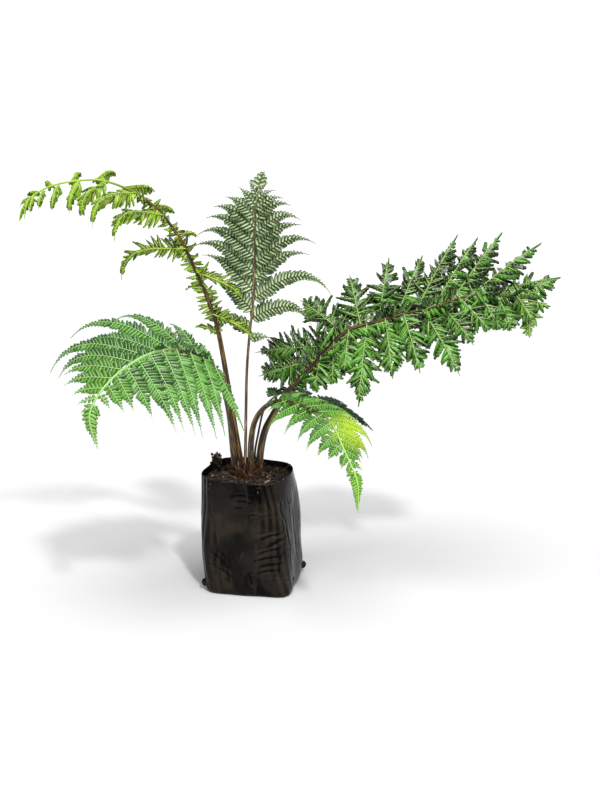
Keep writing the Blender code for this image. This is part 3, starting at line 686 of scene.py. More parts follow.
# %% Rows of leaflets
ROWS = {
    "slim": (0.85, 1.0, 1.0, 0.95, 0.85, 0.7, 0.54, 0.38, 0.25, 0.15),
    "even": (0.8, 1.0, 1.0, 1.0, 1.0, 0.95, 0.86, 0.72, 0.54, 0.36),
    "broad": (0.9, 1.0, 1.0, 0.98, 0.94, 0.86, 0.74, 0.56, 0.38, 0.2),
    "frill": (0.6, 1.0, 0.9, 1.0, 0.85, 0.9, 0.6),
    "tail": (1.0, 0.9, 0.74, 0.56, 0.38, 0.22),
}
ROW_END = 0.88
RIBBON_FROM = 0.62
RIBBON_LOBES = 12
RIBBON_NOTCH = 0.3
RIBBON_FOLD = 0.25
RIBBON_FULL = 0.06
BLUNTEST = 0.8
STAGGER = 0.2
SIZE_SPREAD = 0.05
CURL_SPREAD = 0.4


def leaflet_frame(d, n, side, v, fine, dice, scatter):
    """A leaflet's length, width and upper directions, with a little scatter."""
    across = np.cross(n, d) * side
    lean, cup = keyed(fine["lean"], v), keyed(fine["cup"], v)
    out = unit(across + d * lean - n * cup - UP * fine["hang"] + dice.normal(0, scatter, 3))
    y = unit(d - d.dot(out) * out)
    z = side * np.cross(y, out)
    roll = dice.normal(0, scatter)
    return out, math.cos(roll) * y + math.sin(roll) * z, math.cos(roll) * z - math.sin(roll) * y


def leaf_rows(growth, shapes, fine, way, length, reach, row_shape, stalk, u, dice):
    """Two rows of leaflets along a midrib, which run together in a ribbon at its tip."""
    points, ways, normals = way
    low = stalk / length
    count = max(3, round((length * ROW_END - stalk) / (fine["pitch"] * MM)))
    step = (ROW_END - low) / count
    scatter = math.radians(fine["scatter"])
    for k in range(count):
        for side in (-1, 1):
            v = (k + 0.5 + STAGGER * side) / count
            w = low + v * (ROW_END - low)
            base, d, n = (keyed_vector(rows, w) for rows in (points, ways, normals))
            size = keyed(row_shape, v) * reach * (1 + SIZE_SPREAD * dice.normal())
            out, y, z = leaflet_frame(d, unit(n), side, v, fine, dice, scatter)
            width = min(step * length * fine["width"], BLUNTEST * size)
            bend = (fine["fold"], fine["curl"] * (1 + CURL_SPREAD * dice.normal()), SWEEP)
            # Leaflets that point upwards get the lower half of the chance, which the leaf finish
            # turns darker: painted shade.
            chance = 0.5 * dice.random() + (0.0 if out[2] > 0 else 0.5)
            shapes[0].grow(growth, base, out, y, z, (size, width), bend, (u, w, chance))
    if len(shapes) > 1:
        width = fine["ribbon"] * MM * min(1.0, length / RIBBON_FULL)
        shapes[1].wrap(growth, way, RIBBON_FROM, width, RIBBON_FOLD, (u, 0.5))


# %% A whole frond
RIB_SIDES = 6
RIB_TIP = 0.3
TAIL_LAP = 1.15
FRILL = dict(scatter=26, cup=(-0.3, -0.3), lean=(0.5, 0.5))
FRILL_PLACE = 0.2


def stem_leaves(growth, shapes, fine, line, frond, span, reach, row_shape, u, dice):
    """Leaflets on both sides of a frond's own stem, between two distances along it."""
    low, high = span
    way = stem_way(line, frond, np.linspace(low, high, PINNA_STEPS + 1))
    leaf_rows(growth, shapes, fine, way, high - low, reach * MM, row_shape, 0.0, u, dice)


def grow_frond(name):
    """The blades and the ribs of one frond, as two growths."""
    frond, fine = FRONDS[name], FINE[name]
    dice = np.random.default_rng(sum(map(ord, name)))
    blades, ribs = Growth(), Growth()
    shapes = (
        Leaflet(fine["lobes"], fine["notch"], fine["inner"], fine["outline"], fine["swell"]),
        Leaflet(RIBBON_LOBES, RIBBON_NOTCH, fine["inner"], "ribbon", fine["swell"]),
    )
    line = Line(frond["spine"])
    start = line.length * frond["first"]
    stem(ribs, frond, start - frond["bare"], line.length - STEM_OVERLAP)
    for points, ways, normals, length, room, u, side in pinnae(name, frond):
        reach = min(fine["leaflet"] * MM, length * fine["share"], room * fine["room"])
        reach *= keyed((fine["lower"], 1.0, 1.0), u)
        way, stalk = (points, ways, normals), fine["stalk"] * MM
        leaf_rows(blades, shapes, fine, way, length, reach, ROWS[fine["row"]], stalk, u, dice)
        radii = fine["rib"] * MM * np.linspace(1, RIB_TIP, len(points))
        tube(ribs, points, ways, normals, radii, RIB_SIDES, (u, 1, 0))
    leafy = line.length - start
    span = start + leafy * (1 - frond["tail"] * TAIL_LAP), line.length
    stem_leaves(blades, shapes, fine, line, frond, span, fine["tail"], ROWS["tail"], 1.0, dice)
    if fine["frill"]:
        low, high, reach = fine["frill"]
        span, loose = (start + leafy * low, start + leafy * high), {**fine, **FRILL}
        row = ROWS["frill"]
        stem_leaves(blades, shapes[:1], loose, line, frond, span, reach, row, FRILL_PLACE, dice)
    return blades, ribs


# %% [markdown]
# ## Node helpers
# The finishes are made of shader nodes. They could be wired by hand in the editor, but code
# keeps each finish in one place. A few short helpers keep the wiring readable: each makes a
# node, sets or links its inputs, and gives back the output.

# %% Wiring
class Wires:
    """Adds nodes to one node tree."""

    def __init__(self, tree):
        self.tree = tree

    def put(self, socket, value):
        if isinstance(value, bpy.types.NodeSocket):
            self.tree.links.new(value, socket)
        elif hasattr(value, "__len__") and len(value) == 3 and socket.type == "RGBA":
            socket.default_value = (*value, 1)
        else:
            socket.default_value = value

    def add(self, kind, inputs=None, **settings):
        node = self.tree.nodes.new(kind)
        for key, value in settings.items():
            setattr(node, key, value)
        for key, value in (inputs or {}).items():
            self.put(node.inputs[key], value)
        return node

    def maths(self, operation, *values, clamp=False):
        inputs = dict(enumerate(values))
        return self.add("ShaderNodeMath", inputs, operation=operation, use_clamp=clamp).outputs[0]

    def times(self, a, b):
        return self.maths("MULTIPLY", a, b)

    def plus(self, a, b):
        return self.maths("ADD", a, b)

    def ramp(self, value, low, high, out_low=0.0, out_high=1.0):
        inputs = {0: value, 1: low, 2: high, 3: out_low, 4: out_high}
        node = self.add("ShaderNodeMapRange", inputs, interpolation_type="SMOOTHSTEP")
        return node.outputs[0]

    def mix(self, share, a, b, blend="MIX"):
        inputs = {0: share, 6: a, 7: b}
        node = self.add("ShaderNodeMix", inputs, data_type="RGBA", blend_type=blend)
        return node.outputs[2]

    def split(self, vector):
        return self.add("ShaderNodeSeparateXYZ", {0: vector}).outputs

    def attribute(self, name):
        return self.add("ShaderNodeAttribute", attribute_name=name).outputs["Vector"]

    def stretch(self, vector, scale):
        inputs = {0: vector, 1: scale}
        return self.add("ShaderNodeVectorMath", inputs, operation="MULTIPLY").outputs[0]

    def noise(self, vector, scale, detail=2.0, rough=0.5):
        inputs = {"Vector": vector, "Scale": scale, "Detail": detail, "Roughness": rough}
        return self.add("ShaderNodeTexNoise", inputs).outputs[0]

    def object_place(self):
        return self.add("ShaderNodeTexCoord").outputs["Object"]

    def bump(self, height, strength, distance):
        inputs = {"Height": height, "Strength": strength, "Distance": distance}
        return self.add("ShaderNodeBump", inputs).outputs[0]


# %% Groups and materials
SOCKETS = {"colour": "NodeSocketColor", "value": "NodeSocketFloat", "vector": "NodeSocketVector"}


def new_group(name, inputs, outputs):
    """A node group with named sockets. inputs is {name: (kind, value)}, outputs {name: kind}."""
    group = bpy.data.node_groups.new(name, "ShaderNodeTree")
    for key, (kind, value) in inputs.items():
        socket = group.interface.new_socket(key, in_out="INPUT", socket_type=SOCKETS[kind])
        socket.default_value = (*value, 1) if kind == "colour" else value
    for key, kind in outputs.items():
        group.interface.new_socket(key, in_out="OUTPUT", socket_type=SOCKETS[kind])
    wires = Wires(group)
    return group, wires, wires.add("NodeGroupInput").outputs, wires.add("NodeGroupOutput").inputs


def new_material(name, **settings):
    """A material with a Principled shader whose plain values are set on its own sockets."""
    made = bpy.data.materials.new(name)
    made.use_nodes = True
    shader = made.node_tree.nodes["Principled BSDF"]
    for key, value in settings.items():
        shader.inputs[key.replace("_", " ").title().replace("Ior", "IOR")].default_value = value
    return made, Wires(made.node_tree), shader


# %% [markdown]
# ## The leaf finish
# One group makes every frond's marks: the blade's colour with its mottle, the pale midrib, the
# side veins that run out to the teeth, the underside in its own colour, the brighter young
# growth and a patch where a frond turns yellow. It also paints shade: leaflets darken towards
# their edges and in the gaps between the side veins there, and leaflets that point upwards are
# darker. Six separate finishes would repeat the same
# nodes, so each frond places the group with its own colours. The shader is a Principled one
# mixed with a Translucent one, because sunlight shines through a fern's thin blades.

# %% Leaf marks
LEAF_SOCKETS = {
    "Blade": ("colour", (0.1, 0.3, 0.05)),
    "Shade": ("colour", (0.03, 0.12, 0.02)),
    "Young": ("colour", (0.3, 0.6, 0.05)),
    "Underside": ("colour", (0.2, 0.35, 0.2)),
    "Rib": ("colour", (0.5, 0.65, 0.3)),
    "Rib Width": ("value", 0.26),
    "Rib Share": ("value", 0.6),
    "Vein Count": ("value", 5.0),
    "Painted Edge Shade": ("value", 0.7),
    "Young From": ("value", 0.7),
    "Young To": ("value", 1.0),
    "Patch": ("colour", (0.6, 0.8, 0.02)),
    "Patch Place": ("vector", (0.0, 0.0, 0.0)),
    "Patch Reach": ("value", 0.01),
}
CLOUD_SCALE = 38.0
VEIN_SLANT = 0.45


def veins_on(w, blade, given, vein, gap, vein_share, gap_shade_share):
    """A blade's colour with pale side veins, and painted shade in the gaps between them near the
    edge.
    """
    blade = w.mix(w.times(vein, vein_share), blade, given["Rib"])
    return w.mix(w.times(gap, gap_shade_share), blade, given["Shade"])


def make_leaf_marks():
    """The group that reads a leaflet's marks and puts out its colour, relief and roughness."""
    outputs = {"Colour": "colour", "Height": "value", "Rough": "value"}
    group, w, given, made = new_group("leaf_marks", LEAF_SOCKETS, outputs)
    t, v, chance = w.split(w.attribute("mark"))
    u, _, under = w.split(w.attribute("place"))
    aside = w.maths("ABSOLUTE", v)
    cloud = w.noise(w.object_place(), CLOUD_SCALE, 3.0, 0.6)
    # The tone mixes a random mottle with each leaflet's chance. Leaflets that point upwards have a
    # lower chance, so they take more of the Shade colour: painted shade.
    tone = w.plus(w.times(cloud, 0.9), w.times(chance, 0.55))
    phase = w.maths("SUBTRACT", w.times(t, given["Vein Count"]), w.times(aside, VEIN_SLANT))
    wave = w.maths("COSINE", w.times(phase, 2 * math.pi))
    vein = w.times(w.ramp(wave, 0.55, 1.0), w.ramp(aside, 0.05, 0.3))
    # Painted shade: darker gaps between the side veins near the edge.
    gap = w.times(w.ramp(wave, -0.4, -1.0), w.ramp(aside, 0.35, 1.0))
    above = w.mix(w.ramp(tone, 0.45, 1.05), given["Shade"], given["Blade"])
    above = w.mix(w.ramp(u, given["Young From"], given["Young To"]), above, given["Young"])
    above = veins_on(w, above, given, vein, gap, 0.22, 0.55)
    below = w.mix(w.ramp(tone, 0.4, 1.0), given["Underside"], given["Blade"])
    below = veins_on(w, below, given, vein, gap, 0.3, 0.5)
    colour = w.mix(w.maths("GREATER_THAN", under, 0.5), above, below)
    # Painted shade: each leaflet turns to the Shade colour towards its edge, where its neighbours
    # overlap.
    edge = w.times(w.ramp(aside, 0.42, 0.98), given["Painted Edge Shade"])
    colour = w.mix(edge, colour, given["Shade"])
    rib = w.ramp(aside, given["Rib Width"], w.times(given["Rib Width"], 0.35))
    rib = w.times(w.times(rib, w.ramp(t, 1.0, 0.2, 0.25, 1.0)), given["Rib Share"])
    colour = w.mix(rib, colour, given["Rib"])
    far = {0: w.object_place(), 1: given["Patch Place"]}
    far = w.add("ShaderNodeVectorMath", far, operation="DISTANCE").outputs["Value"]
    far = w.plus(far, w.times(cloud, 0.02))
    patch = w.ramp(far, given["Patch Reach"], w.times(given["Patch Reach"], 0.4), 0.0, 0.7)
    w.put(made["Colour"], w.mix(patch, colour, given["Patch"]))
    w.put(made["Height"], w.plus(w.times(wave, 0.4), w.times(cloud, 0.8)))
    w.put(made["Rough"], w.ramp(cloud, 0.3, 0.75, -0.08, 0.1))
    print("leaf marks:", len(LEAF_SOCKETS), "inputs,", len(group.nodes), "nodes")
    return group


LEAF_MARKS = make_leaf_marks()


def leaf_material(name, colours, numbers, roughness, specular, glow):
    """A leaf finish: the marks, a Principled shader, and light through the blade."""
    made, w, shader = new_material(name, specular_ior_level=specular)
    marks = w.add("ShaderNodeGroup", node_tree=LEAF_MARKS)
    for key, value in {**colours, **numbers}.items():
        w.put(marks.inputs[key], value)
    colour = marks.outputs["Colour"]
    w.put(shader.inputs["Base Color"], colour)
    w.put(shader.inputs["Roughness"], w.plus(marks.outputs["Rough"], roughness))
    w.put(shader.inputs["Normal"], w.bump(marks.outputs["Height"], 0.35, 0.0003))
    through = w.mix(0.35, colour, (0.5, 0.85, 0.08), "MULTIPLY")
    thin = w.add("ShaderNodeBsdfTranslucent", {"Color": through})
    both = w.add("ShaderNodeMixShader", {0: glow, 1: shader.outputs[0], 2: thin.outputs[0]})
    w.put(made.node_tree.nodes["Material Output"].inputs["Surface"], both.outputs[0])
    return made


# %% Leaf colours
# The colours, the marks that differ from the group's own values, then the roughness, the
# specular level, the share of light through the blade, and the slot.
LEAVES = {
    "lime": (
        dict(Blade=(0.42, 0.72, 0.02), Shade=(0.012, 0.06, 0.002), Young=(0.22, 0.48, 0.015),
             Underside=(0.3, 0.56, 0.05), Rib=(0.95, 1.0, 0.26)),
        {"Rib Width": 0.3, "Rib Share": 0.8, "Painted Edge Shade": 0.75,
         "Young From": 0.5, "Young To": 1.2},
        0.4, 0.5, 0.3, "leaf_lime"),
    "upright": (
        dict(Blade=(0.08, 0.22, 0.055), Shade=(0.006, 0.028, 0.008), Young=(0.36, 0.6, 0.18),
             Underside=(0.5, 0.72, 0.34), Rib=(0.95, 1.0, 0.66)),
        {"Rib Width": 0.4, "Rib Share": 0.92, "Painted Edge Shade": 0.92, "Young To": 1.2},
        0.5, 0.3, 0.25, "leaf_underside"),
    "left": (
        dict(Blade=(0.14, 0.42, 0.05), Shade=(0.01, 0.065, 0.01), Young=(0.18, 0.46, 0.025),
             Underside=(0.12, 0.34, 0.08), Rib=(0.45, 0.7, 0.25)),
        {"Rib Width": 0.28, "Rib Share": 0.65, "Young From": 0.45, "Young To": 0.9},
        0.34, 0.55, 0.24, "leaf_mid"),
    "right": (
        dict(Blade=(0.08, 0.31, 0.016), Shade=(0.0005, 0.006, 0.0005), Young=(0.2, 0.44, 0.01),
             Underside=(0.012, 0.055, 0.007), Rib=(0.55, 0.78, 0.26)),
        {"Rib Width": 0.22, "Painted Edge Shade": 0.9},
        0.22, 0.45, 0.06, "leaf_dark"),
    "front": (
        dict(Blade=(0.12, 0.38, 0.03), Shade=(0.014, 0.1, 0.006), Young=(0.2, 0.5, 0.02),
             Underside=(0.12, 0.3, 0.06), Rib=(0.38, 0.66, 0.15)),
        {"Vein Count": 4.0, "Young From": 0.5, "Young To": 1.1,
         "Patch Place": (0.165, -0.14, 0.285), "Patch Reach": 0.066},
        0.34, 0.55, 0.25, "leaf_light"),
    # The back frond's leaf colours are painted much darker than the others': painted shade, since
    # it stands behind and under the other fronds.
    "back": (
        dict(Blade=(0.03, 0.12, 0.015), Shade=(0.002, 0.01, 0.002), Young=(0.03, 0.12, 0.01),
             Underside=(0.03, 0.1, 0.03), Rib=(0.12, 0.26, 0.07)),
        {"Rib Width": 0.2, "Rib Share": 0.4, "Vein Count": 4.0, "Painted Edge Shade": 0.6,
         "Young From": 0.8, "Young To": 1.3},
        0.45, 0.4, 0.1, "leaf_shade"),
}
print(len(LEAVES), "leaf finishes")

# %% [markdown]
# ## The stem finish
# Tree fern stems are brown with tan streaks along them. A noise in plain space would cut
# across a bent stem. This one is read from the tube's own marks, far finer around the stem
# than along it, so it follows every bend. Towards
# the tip of a frond the stem turns green or golden.

# %% Stem streaks
STEM_SOCKETS = {
    "Dark": ("colour", (0.05, 0.02, 0.01)),
    "Tan": ("colour", (0.3, 0.17, 0.06)),
    "Tip": ("colour", (0.3, 0.5, 0.1)),
    "Green From": ("value", 0.5),
    "Green To": ("value", 0.9),
}


def make_stem_streaks():
    """The group that streaks a stem along its length and turns its upper part green."""
    outputs = {"Colour": "colour", "Height": "value"}
    group, w, given, made = new_group("stem_streaks", STEM_SOCKETS, outputs)
    u, is_rib, _ = w.split(w.attribute("place"))
    ways = w.stretch(w.attribute("mark"), (1.0, 1.0, 14.0))
    streak = w.noise(ways, 2.6, 4.0, 0.65)
    fleck = w.noise(w.object_place(), 420.0, 2.0)
    brown = w.mix(w.ramp(streak, 0.46, 0.66), given["Dark"], given["Tan"])
    brown = w.mix(w.ramp(fleck, 0.6, 0.75, 0.0, 0.5), brown, given["Dark"])
    green = w.maths("MAXIMUM", is_rib, w.ramp(u, given["Green From"], given["Green To"]))
    w.put(made["Colour"], w.mix(green, brown, given["Tip"]))
    w.put(made["Height"], w.plus(streak, w.times(fleck, 0.3)))
    print("stem streaks:", len(STEM_SOCKETS), "inputs,", len(group.nodes), "nodes")
    return group


STEM_STREAKS = make_stem_streaks()


def stem_material(name, *values):
    """A stem finish. The values go to the group's sockets, in their order."""
    made, w, shader = new_material(name, roughness=0.42)
    streaks = w.add("ShaderNodeGroup", node_tree=STEM_STREAKS)
    for key, value in zip(STEM_SOCKETS, values):
        w.put(streaks.inputs[key], value)
    w.put(shader.inputs["Base Color"], streaks.outputs["Colour"])
    w.put(shader.inputs["Normal"], w.bump(streaks.outputs["Height"], 0.6, 0.0006))
    return made


# %% Stem colours
# The dark, the tan and the tip colour, where the green starts and is full, and the slot.
STEMS = {
    "lime": ((0.01, 0.005, 0.002), (0.3, 0.15, 0.025), (0.4, 0.62, 0.06), 0.66, 0.85, "stem_brown"),
    "upright": ((0.05, 0.02, 0.012), (0.5, 0.32, 0.2), (0.75, 0.85, 0.45), 0.85, 1.0, "stem_dark"),
    "left": ((0.008, 0.004, 0.002), (0.24, 0.13, 0.03), (0.34, 0.6, 0.2), 0.5, 0.7, "stem_brown"),
    "right": ((0.01, 0.005, 0.002), (0.22, 0.12, 0.03), (0.4, 0.58, 0.2), 0.92, 1.0, "stem_brown"),
    "front": ((0.01, 0.005, 0.002), (0.25, 0.15, 0.035), (0.34, 0.6, 0.12), 0.55, 0.75,
              "stem_brown"),
    "back": ((0.015, 0.008, 0.005), (0.07, 0.04, 0.02), (0.04, 0.1, 0.03), 0.5, 0.8, "stem_dark"),
}
print(len(STEMS), "stem finishes")

# %% [markdown]
# ## Growing the fronds and their stems
# A real frond grows as one with its stem. Each becomes three pieces here: the blades with the
# leaf finish, which stand for the solid frond, the ribs with the leafy part of the stem, and the
# bare brown stem below, which stands for the solid stipe. The ribs and the bare stem share one
# stem finish.

# %% Grow
for name in FRONDS:
    *leaf_finish, leaf_slot = LEAVES[name]
    *stem_finish, stem_slot = STEMS[name]
    leaf_paint = leaf_material(name + "_leaf", *leaf_finish)
    stem_paint = stem_material(name + "_stem", *stem_finish)
    blades, ribs = grow_frond(name)
    blades.piece(name + "_blades", leaf_paint, leaf_slot, name + "_frond")
    ribs.piece(name + "_ribs", stem_paint, leaf_slot)
    stalk, frond = Growth(), FRONDS[name]
    top = Line(frond["spine"]).length * frond["first"] - frond["bare"]
    stem(stalk, frond, 0.0, top + STEM_OVERLAP)
    stalk.piece(name + "_stem_fine", stem_paint, stem_slot, name + "_stipe")

# %% [markdown]
# ## The crown
# The stems rise from a short rootstock covered in rusty papery scales. A rough bump would do
# from far off, but the scales show against the light. So its body is turned like a pot on a
# wheel, and the scales are small leaflets that stand up against it in a spiral.

# %% Crown
CROWN_CENTRE = (-0.003, -0.002)
CROWN_PROFILE = ((0.0, 0.142), (0.016, 0.145), (0.026, 0.160), (0.0285, 0.176), (0.023, 0.190),
                 (0.012, 0.196), (0.0, 0.197))
CROWN_SIDES = 40
CROWN_RINGS = 14
SCALE_COUNT = 420
SCALE_FROM = 0.168
SCALE_RISE = 0.029
SCALE_LENGTH = 0.012
SCALE_WIDTH = 0.0032
SCALE_SHAPE = (3, 0.1, (0.4,), "long", 0.0)
GOLDEN_TURN = 2.39996


def lathe(growth, profile, centre, sides):
    """A closed turned body. The first and the last point of the profile lie on its axis."""
    turn = 2 * math.pi * np.arange(sides) / sides
    rings = [np.stack([centre[0] + r * np.cos(turn), centre[1] + r * np.sin(turn), z + 0 * turn], 1)
             for r, z in profile[1:-1]]
    ends = [(*centre, profile[0][1]), (*centre, profile[-1][1])]
    points = np.concatenate([*rings, np.array(ends)])
    quads, first, last = ring_faces(len(rings), sides)
    fans = [(a, b, len(points) - back) for ring, back in ((first[0], 2), (last[0], 1))
            for a, b in zip(ring, np.roll(ring, -1))]
    blank = np.zeros((len(points), 3))
    growth.add(points, [quads, np.array(fans)], blank, blank)


def build_crown():
    """The turned rootstock with its scales, which stand in a spiral."""
    growth = Growth()
    dice = np.random.default_rng(5)
    turned = np.array(CROWN_PROFILE[1:-1])
    heights = np.linspace(turned[0, 1], turned[-1, 1], CROWN_RINGS)
    radii = np.interp(heights, turned[:, 1], turned[:, 0])
    profile = [CROWN_PROFILE[0], *zip(radii, heights), CROWN_PROFILE[-1]]
    lathe(growth, profile, CROWN_CENTRE, CROWN_SIDES)
    scale = Leaflet(*SCALE_SHAPE)
    for k in range(SCALE_COUNT):
        z = SCALE_FROM + SCALE_RISE * k / SCALE_COUNT + dice.normal(0, 0.001)
        radius = float(np.interp(z, heights, radii))
        outward = np.array([math.cos(k * GOLDEN_TURN), math.sin(k * GOLDEN_TURN), 0])
        base = np.array([*CROWN_CENTRE, z]) + outward * (radius - 0.001)
        out = unit(UP + outward * dice.uniform(0.05, 0.75) + dice.normal(0, 0.18, 3))
        y = np.cross(outward, out) + dice.normal(0, 0.15, 3)
        y = unit(y - y.dot(out) * out)
        size = SCALE_LENGTH * dice.uniform(0.6, 1.25), SCALE_WIDTH * dice.uniform(0.7, 1.3)
        bend = (0.6, dice.normal(0, 0.25), 0)
        scale.grow(growth, base, out, y, np.cross(out, y), size, bend, (z, 0, dice.random()))
    return growth


# %% [markdown]
# ## The film bag
# A nursery bag is a tube of thin black film, filled with potting mix, so it stands as a
# rounded square with soft dents. A cloth simulation could fold it, but the creases wouldn't
# fall where the real ones are. So the sheet has fine rows and columns, and each point is moved
# in or out by pleats at the corners, by sharp creases and by a soft crumple. Two corners of
# the base stick out as small ears. The drain holes are cut with a Boolean, which leaves clean
# round edges.

# %% Bag shape
BAG_YAW_BASE = math.radians(-10)
BAG_YAW_RIM = math.radians(-21)
BAG_HALF = 0.0715
BAG_BULGE = 0.0015
BAG_HEIGHT = 0.187
POWER_BASE = 6.5
POWER_DROP = 4.0
FOOT_HEIGHT = 0.012
FOOT_ROUND = 0.006
BASE_CENTRE = (0.008, -0.009)
RIM_CENTRE = (-0.004, 0.004)


def bag_yaw(z):
    """The bag is twisted a little between its base and its rim."""
    return BAG_YAW_BASE + (BAG_YAW_RIM - BAG_YAW_BASE) * z / BAG_HEIGHT


def bag_points(turn, z, inset):
    """Points of the bag's side: a rounded square at the base, and rounder at the rim."""
    h = z / BAG_HEIGHT
    power = POWER_BASE - POWER_DROP * h
    half = BAG_HALF + BAG_BULGE * np.sin(math.pi * h)
    c, s = np.abs(np.cos(turn)), np.abs(np.sin(turn))
    radius = half / (c**power + s**power) ** (1 / power)
    radius += 0.0012 * np.sin(3 * turn + 7 * h) * np.sin(math.pi * h)
    radius += 0.0008 * np.sin(7 * turn - 5 * h)
    foot = np.minimum(z / FOOT_HEIGHT, 1)
    radius -= FOOT_ROUND * (1 - np.sqrt(1 - (1 - foot) ** 2)) + inset
    x, y = (a + (b - a) * h for a, b in zip(BASE_CENTRE, RIM_CENTRE))
    way = turn + bag_yaw(z)
    return np.stack([x + radius * np.cos(way), y + radius * np.sin(way), z + 0 * turn], -1)


def rim_height(turn):
    """The film's upper edge waves up and down a little."""
    return BAG_HEIGHT + 0.0024 * np.sin(turn - 0.6) + 0.0016 * np.sin(3 * turn)


opposite = bag_points(np.array([0, math.pi]), BAG_HEIGHT / 2, 0)
print("bag's width halfway up, in mm:", round(np.linalg.norm(opposite[1] - opposite[0]) / MM))

# %% Creases
# Turn in degrees, height and length in mm, slope in degrees, width and depth in mm
CREASES = [
    (-78, 168, 44, 2, 1.5, 1.5), (-74, 158, 30, -4, 1.2, 1.1), (-84, 147, 24, 6, 1.2, 1.1),
    (-66, 138, 26, 3, 1.2, 1.0), (-52, 104, 44, 14, 1.8, 1.7), (-46, 94, 50, 22, 2.0, 1.8),
    (-56, 80, 54, 17, 1.5, 1.7), (-58, 68, 52, 14, 1.5, 1.6), (-56, 57, 46, 10, 1.5, 1.5),
    (-60, 46, 42, 12, 1.4, 1.4), (-112, 40, 30, -35, 1.6, 1.2), (-116, 62, 34, -50, 1.6, 1.1),
    (-118, 96, 150, 89, 1.6, 0.8), (-28, 96, 150, 91, 1.8, 1.0), (-12, 110, 130, 87, 1.6, 0.9),
    (4, 96, 140, 92, 1.8, 0.9), (62, 90, 150, 90, 1.8, 0.9), (152, 90, 150, 90, 1.8, 0.9),
]
MORE_CREASES = 90
CORNER_CREASES = 0.55
SLANTING = 0.6
MEAN_RADIUS = 78.0
WAVER = 0.12
WAVER_LENGTH = 9
RIDGE_OUT = 2.4
RIDGE_SHARE = 0.55


def all_creases():
    """The listed creases, and more at random, mostly low down and near the corners."""
    dice = random.Random("bag")
    made = list(CREASES)
    for _ in range(MORE_CREASES):
        near_corner = 45 + 90 * dice.randrange(4) + dice.gauss(0, 16)
        anywhere = dice.uniform(0, 360)
        turn = near_corner if dice.random() < CORNER_CREASES else anywhere
        height = dice.choice([dice.uniform(8, 70), dice.uniform(20, 178)])
        slope = dice.gauss(0, 26) if dice.random() < SLANTING else dice.gauss(90, 12)
        length, width = dice.uniform(12, 44), dice.uniform(0.9, 1.8)
        made.append((turn, height, length, slope, width, dice.uniform(0.25, 0.8)))
    print(len(made), "creases")
    return made


def crease_depths(turn, z):
    """How far the creases press the film in, in metres."""
    depth = np.zeros_like(turn)
    for degrees, height, length, slope, width, deep in all_creases():
        gap = (turn - math.radians(degrees) + math.pi) % (2 * math.pi) - math.pi
        a, b = gap * MEAN_RADIUS, z * 1000 - height
        c, s = math.cos(math.radians(slope)), math.sin(math.radians(slope))
        along, across = a * c + b * s, b * c - a * s
        across = np.abs(across + WAVER * along * np.sin(along / WAVER_LENGTH))
        fade = np.clip(1 - (2 * along / length) ** 2, 0, 1)
        ridge = np.exp(-(((across - RIDGE_OUT * width) / width) ** 2))
        depth += (np.exp(-across / width) - RIDGE_SHARE * ridge) * fade * deep * MM
    return depth


# %% Film sheet
BAG_COLUMNS = 288
BAG_ROWS = 112
FILM = 0.0005
INNER_INSET = 0.0018
MOST_IN = 0.0015
MOST_OUT = 0.0022
SOFT_DENTS = ((22, 0, 0.0010), (60, 7, 0.0005))
PLEAT_DEPTH = 0.0006
PLEAT_SPREAD = 0.24
FLAT_FOOT = 0.004
FOOT_SHARES = (0, 0.003, 0.01, 0.02)
INNER_ROWS = (1, 3, 5, 8)
INNER_LEVELS = (0.165, 0.13, 0.08, 0.03, 0.006, 0.0008)


def crumple(points, scale, seed):
    """A smooth random value, about -1 to 1, for each point."""
    return np.array([noise.noise(Vector(p * scale) + Vector((seed, 0, 0))) for p in points])


def film_push(turn, z):
    """How far each point of the outside is pressed in, in metres."""
    flat = bag_points(turn, z, 0).reshape(-1, 3)
    soft = sum(crumple(flat, scale, seed) * deep for scale, seed, deep in SOFT_DENTS)
    corner = np.exp(-(((turn % (math.pi / 2) - math.pi / 4) / PLEAT_SPREAD) ** 2))
    pleats = PLEAT_DEPTH * corner * np.sin(44 * turn + 3 * np.sin(30 * z))
    push = crease_depths(turn, z) - soft.reshape(turn.shape) - pleats
    return np.clip(push, -MOST_OUT, MOST_IN) * np.minimum(z / FLAT_FOOT, 1)


# %% Ears and the whole film
EAR_TURN = math.radians(36)
EAR_HEIGHT = 0.012
EAR_RADII = np.array([5.5, 6.6, 6.4, 4.6, 1.6]) * MM
EAR_OUT = np.array([-3.0, 0.0, 3.4, 6.0, 7.4]) * MM
EAR_RISE = 0.12
EAR_SIDES = 14
EAR_RIDGE = 0.08
EAR_FLAT = 0.6
# The ears' press mark counts as raised film, so the film finish gives them its brown painted
# highlight.
EAR_HIGHLIGHT_MARK = (-0.6, 0, 0)


def add_ear(growth, turn):
    """A corner of the film that is folded out and pinched flat."""
    middle = bag_points(np.array(turn), np.array(EAR_HEIGHT), 0)
    way = turn + bag_yaw(EAR_HEIGHT)
    outward = np.array([math.cos(way), math.sin(way), EAR_RISE])
    aside = np.array([-math.sin(way), math.cos(way), 0])
    points = middle + EAR_OUT[:, None] * outward
    ways, normals = (np.tile(row, (len(points), 1)) for row in (unit(outward), UP))
    tube(growth, points, ways, normals, EAR_RADII, EAR_SIDES, ridge=EAR_RIDGE)
    body = growth.points[-1]
    body -= ((body - middle) @ aside)[:, None] * aside * (1 - EAR_FLAT)
    growth.marks[-1][:] = EAR_HIGHLIGHT_MARK


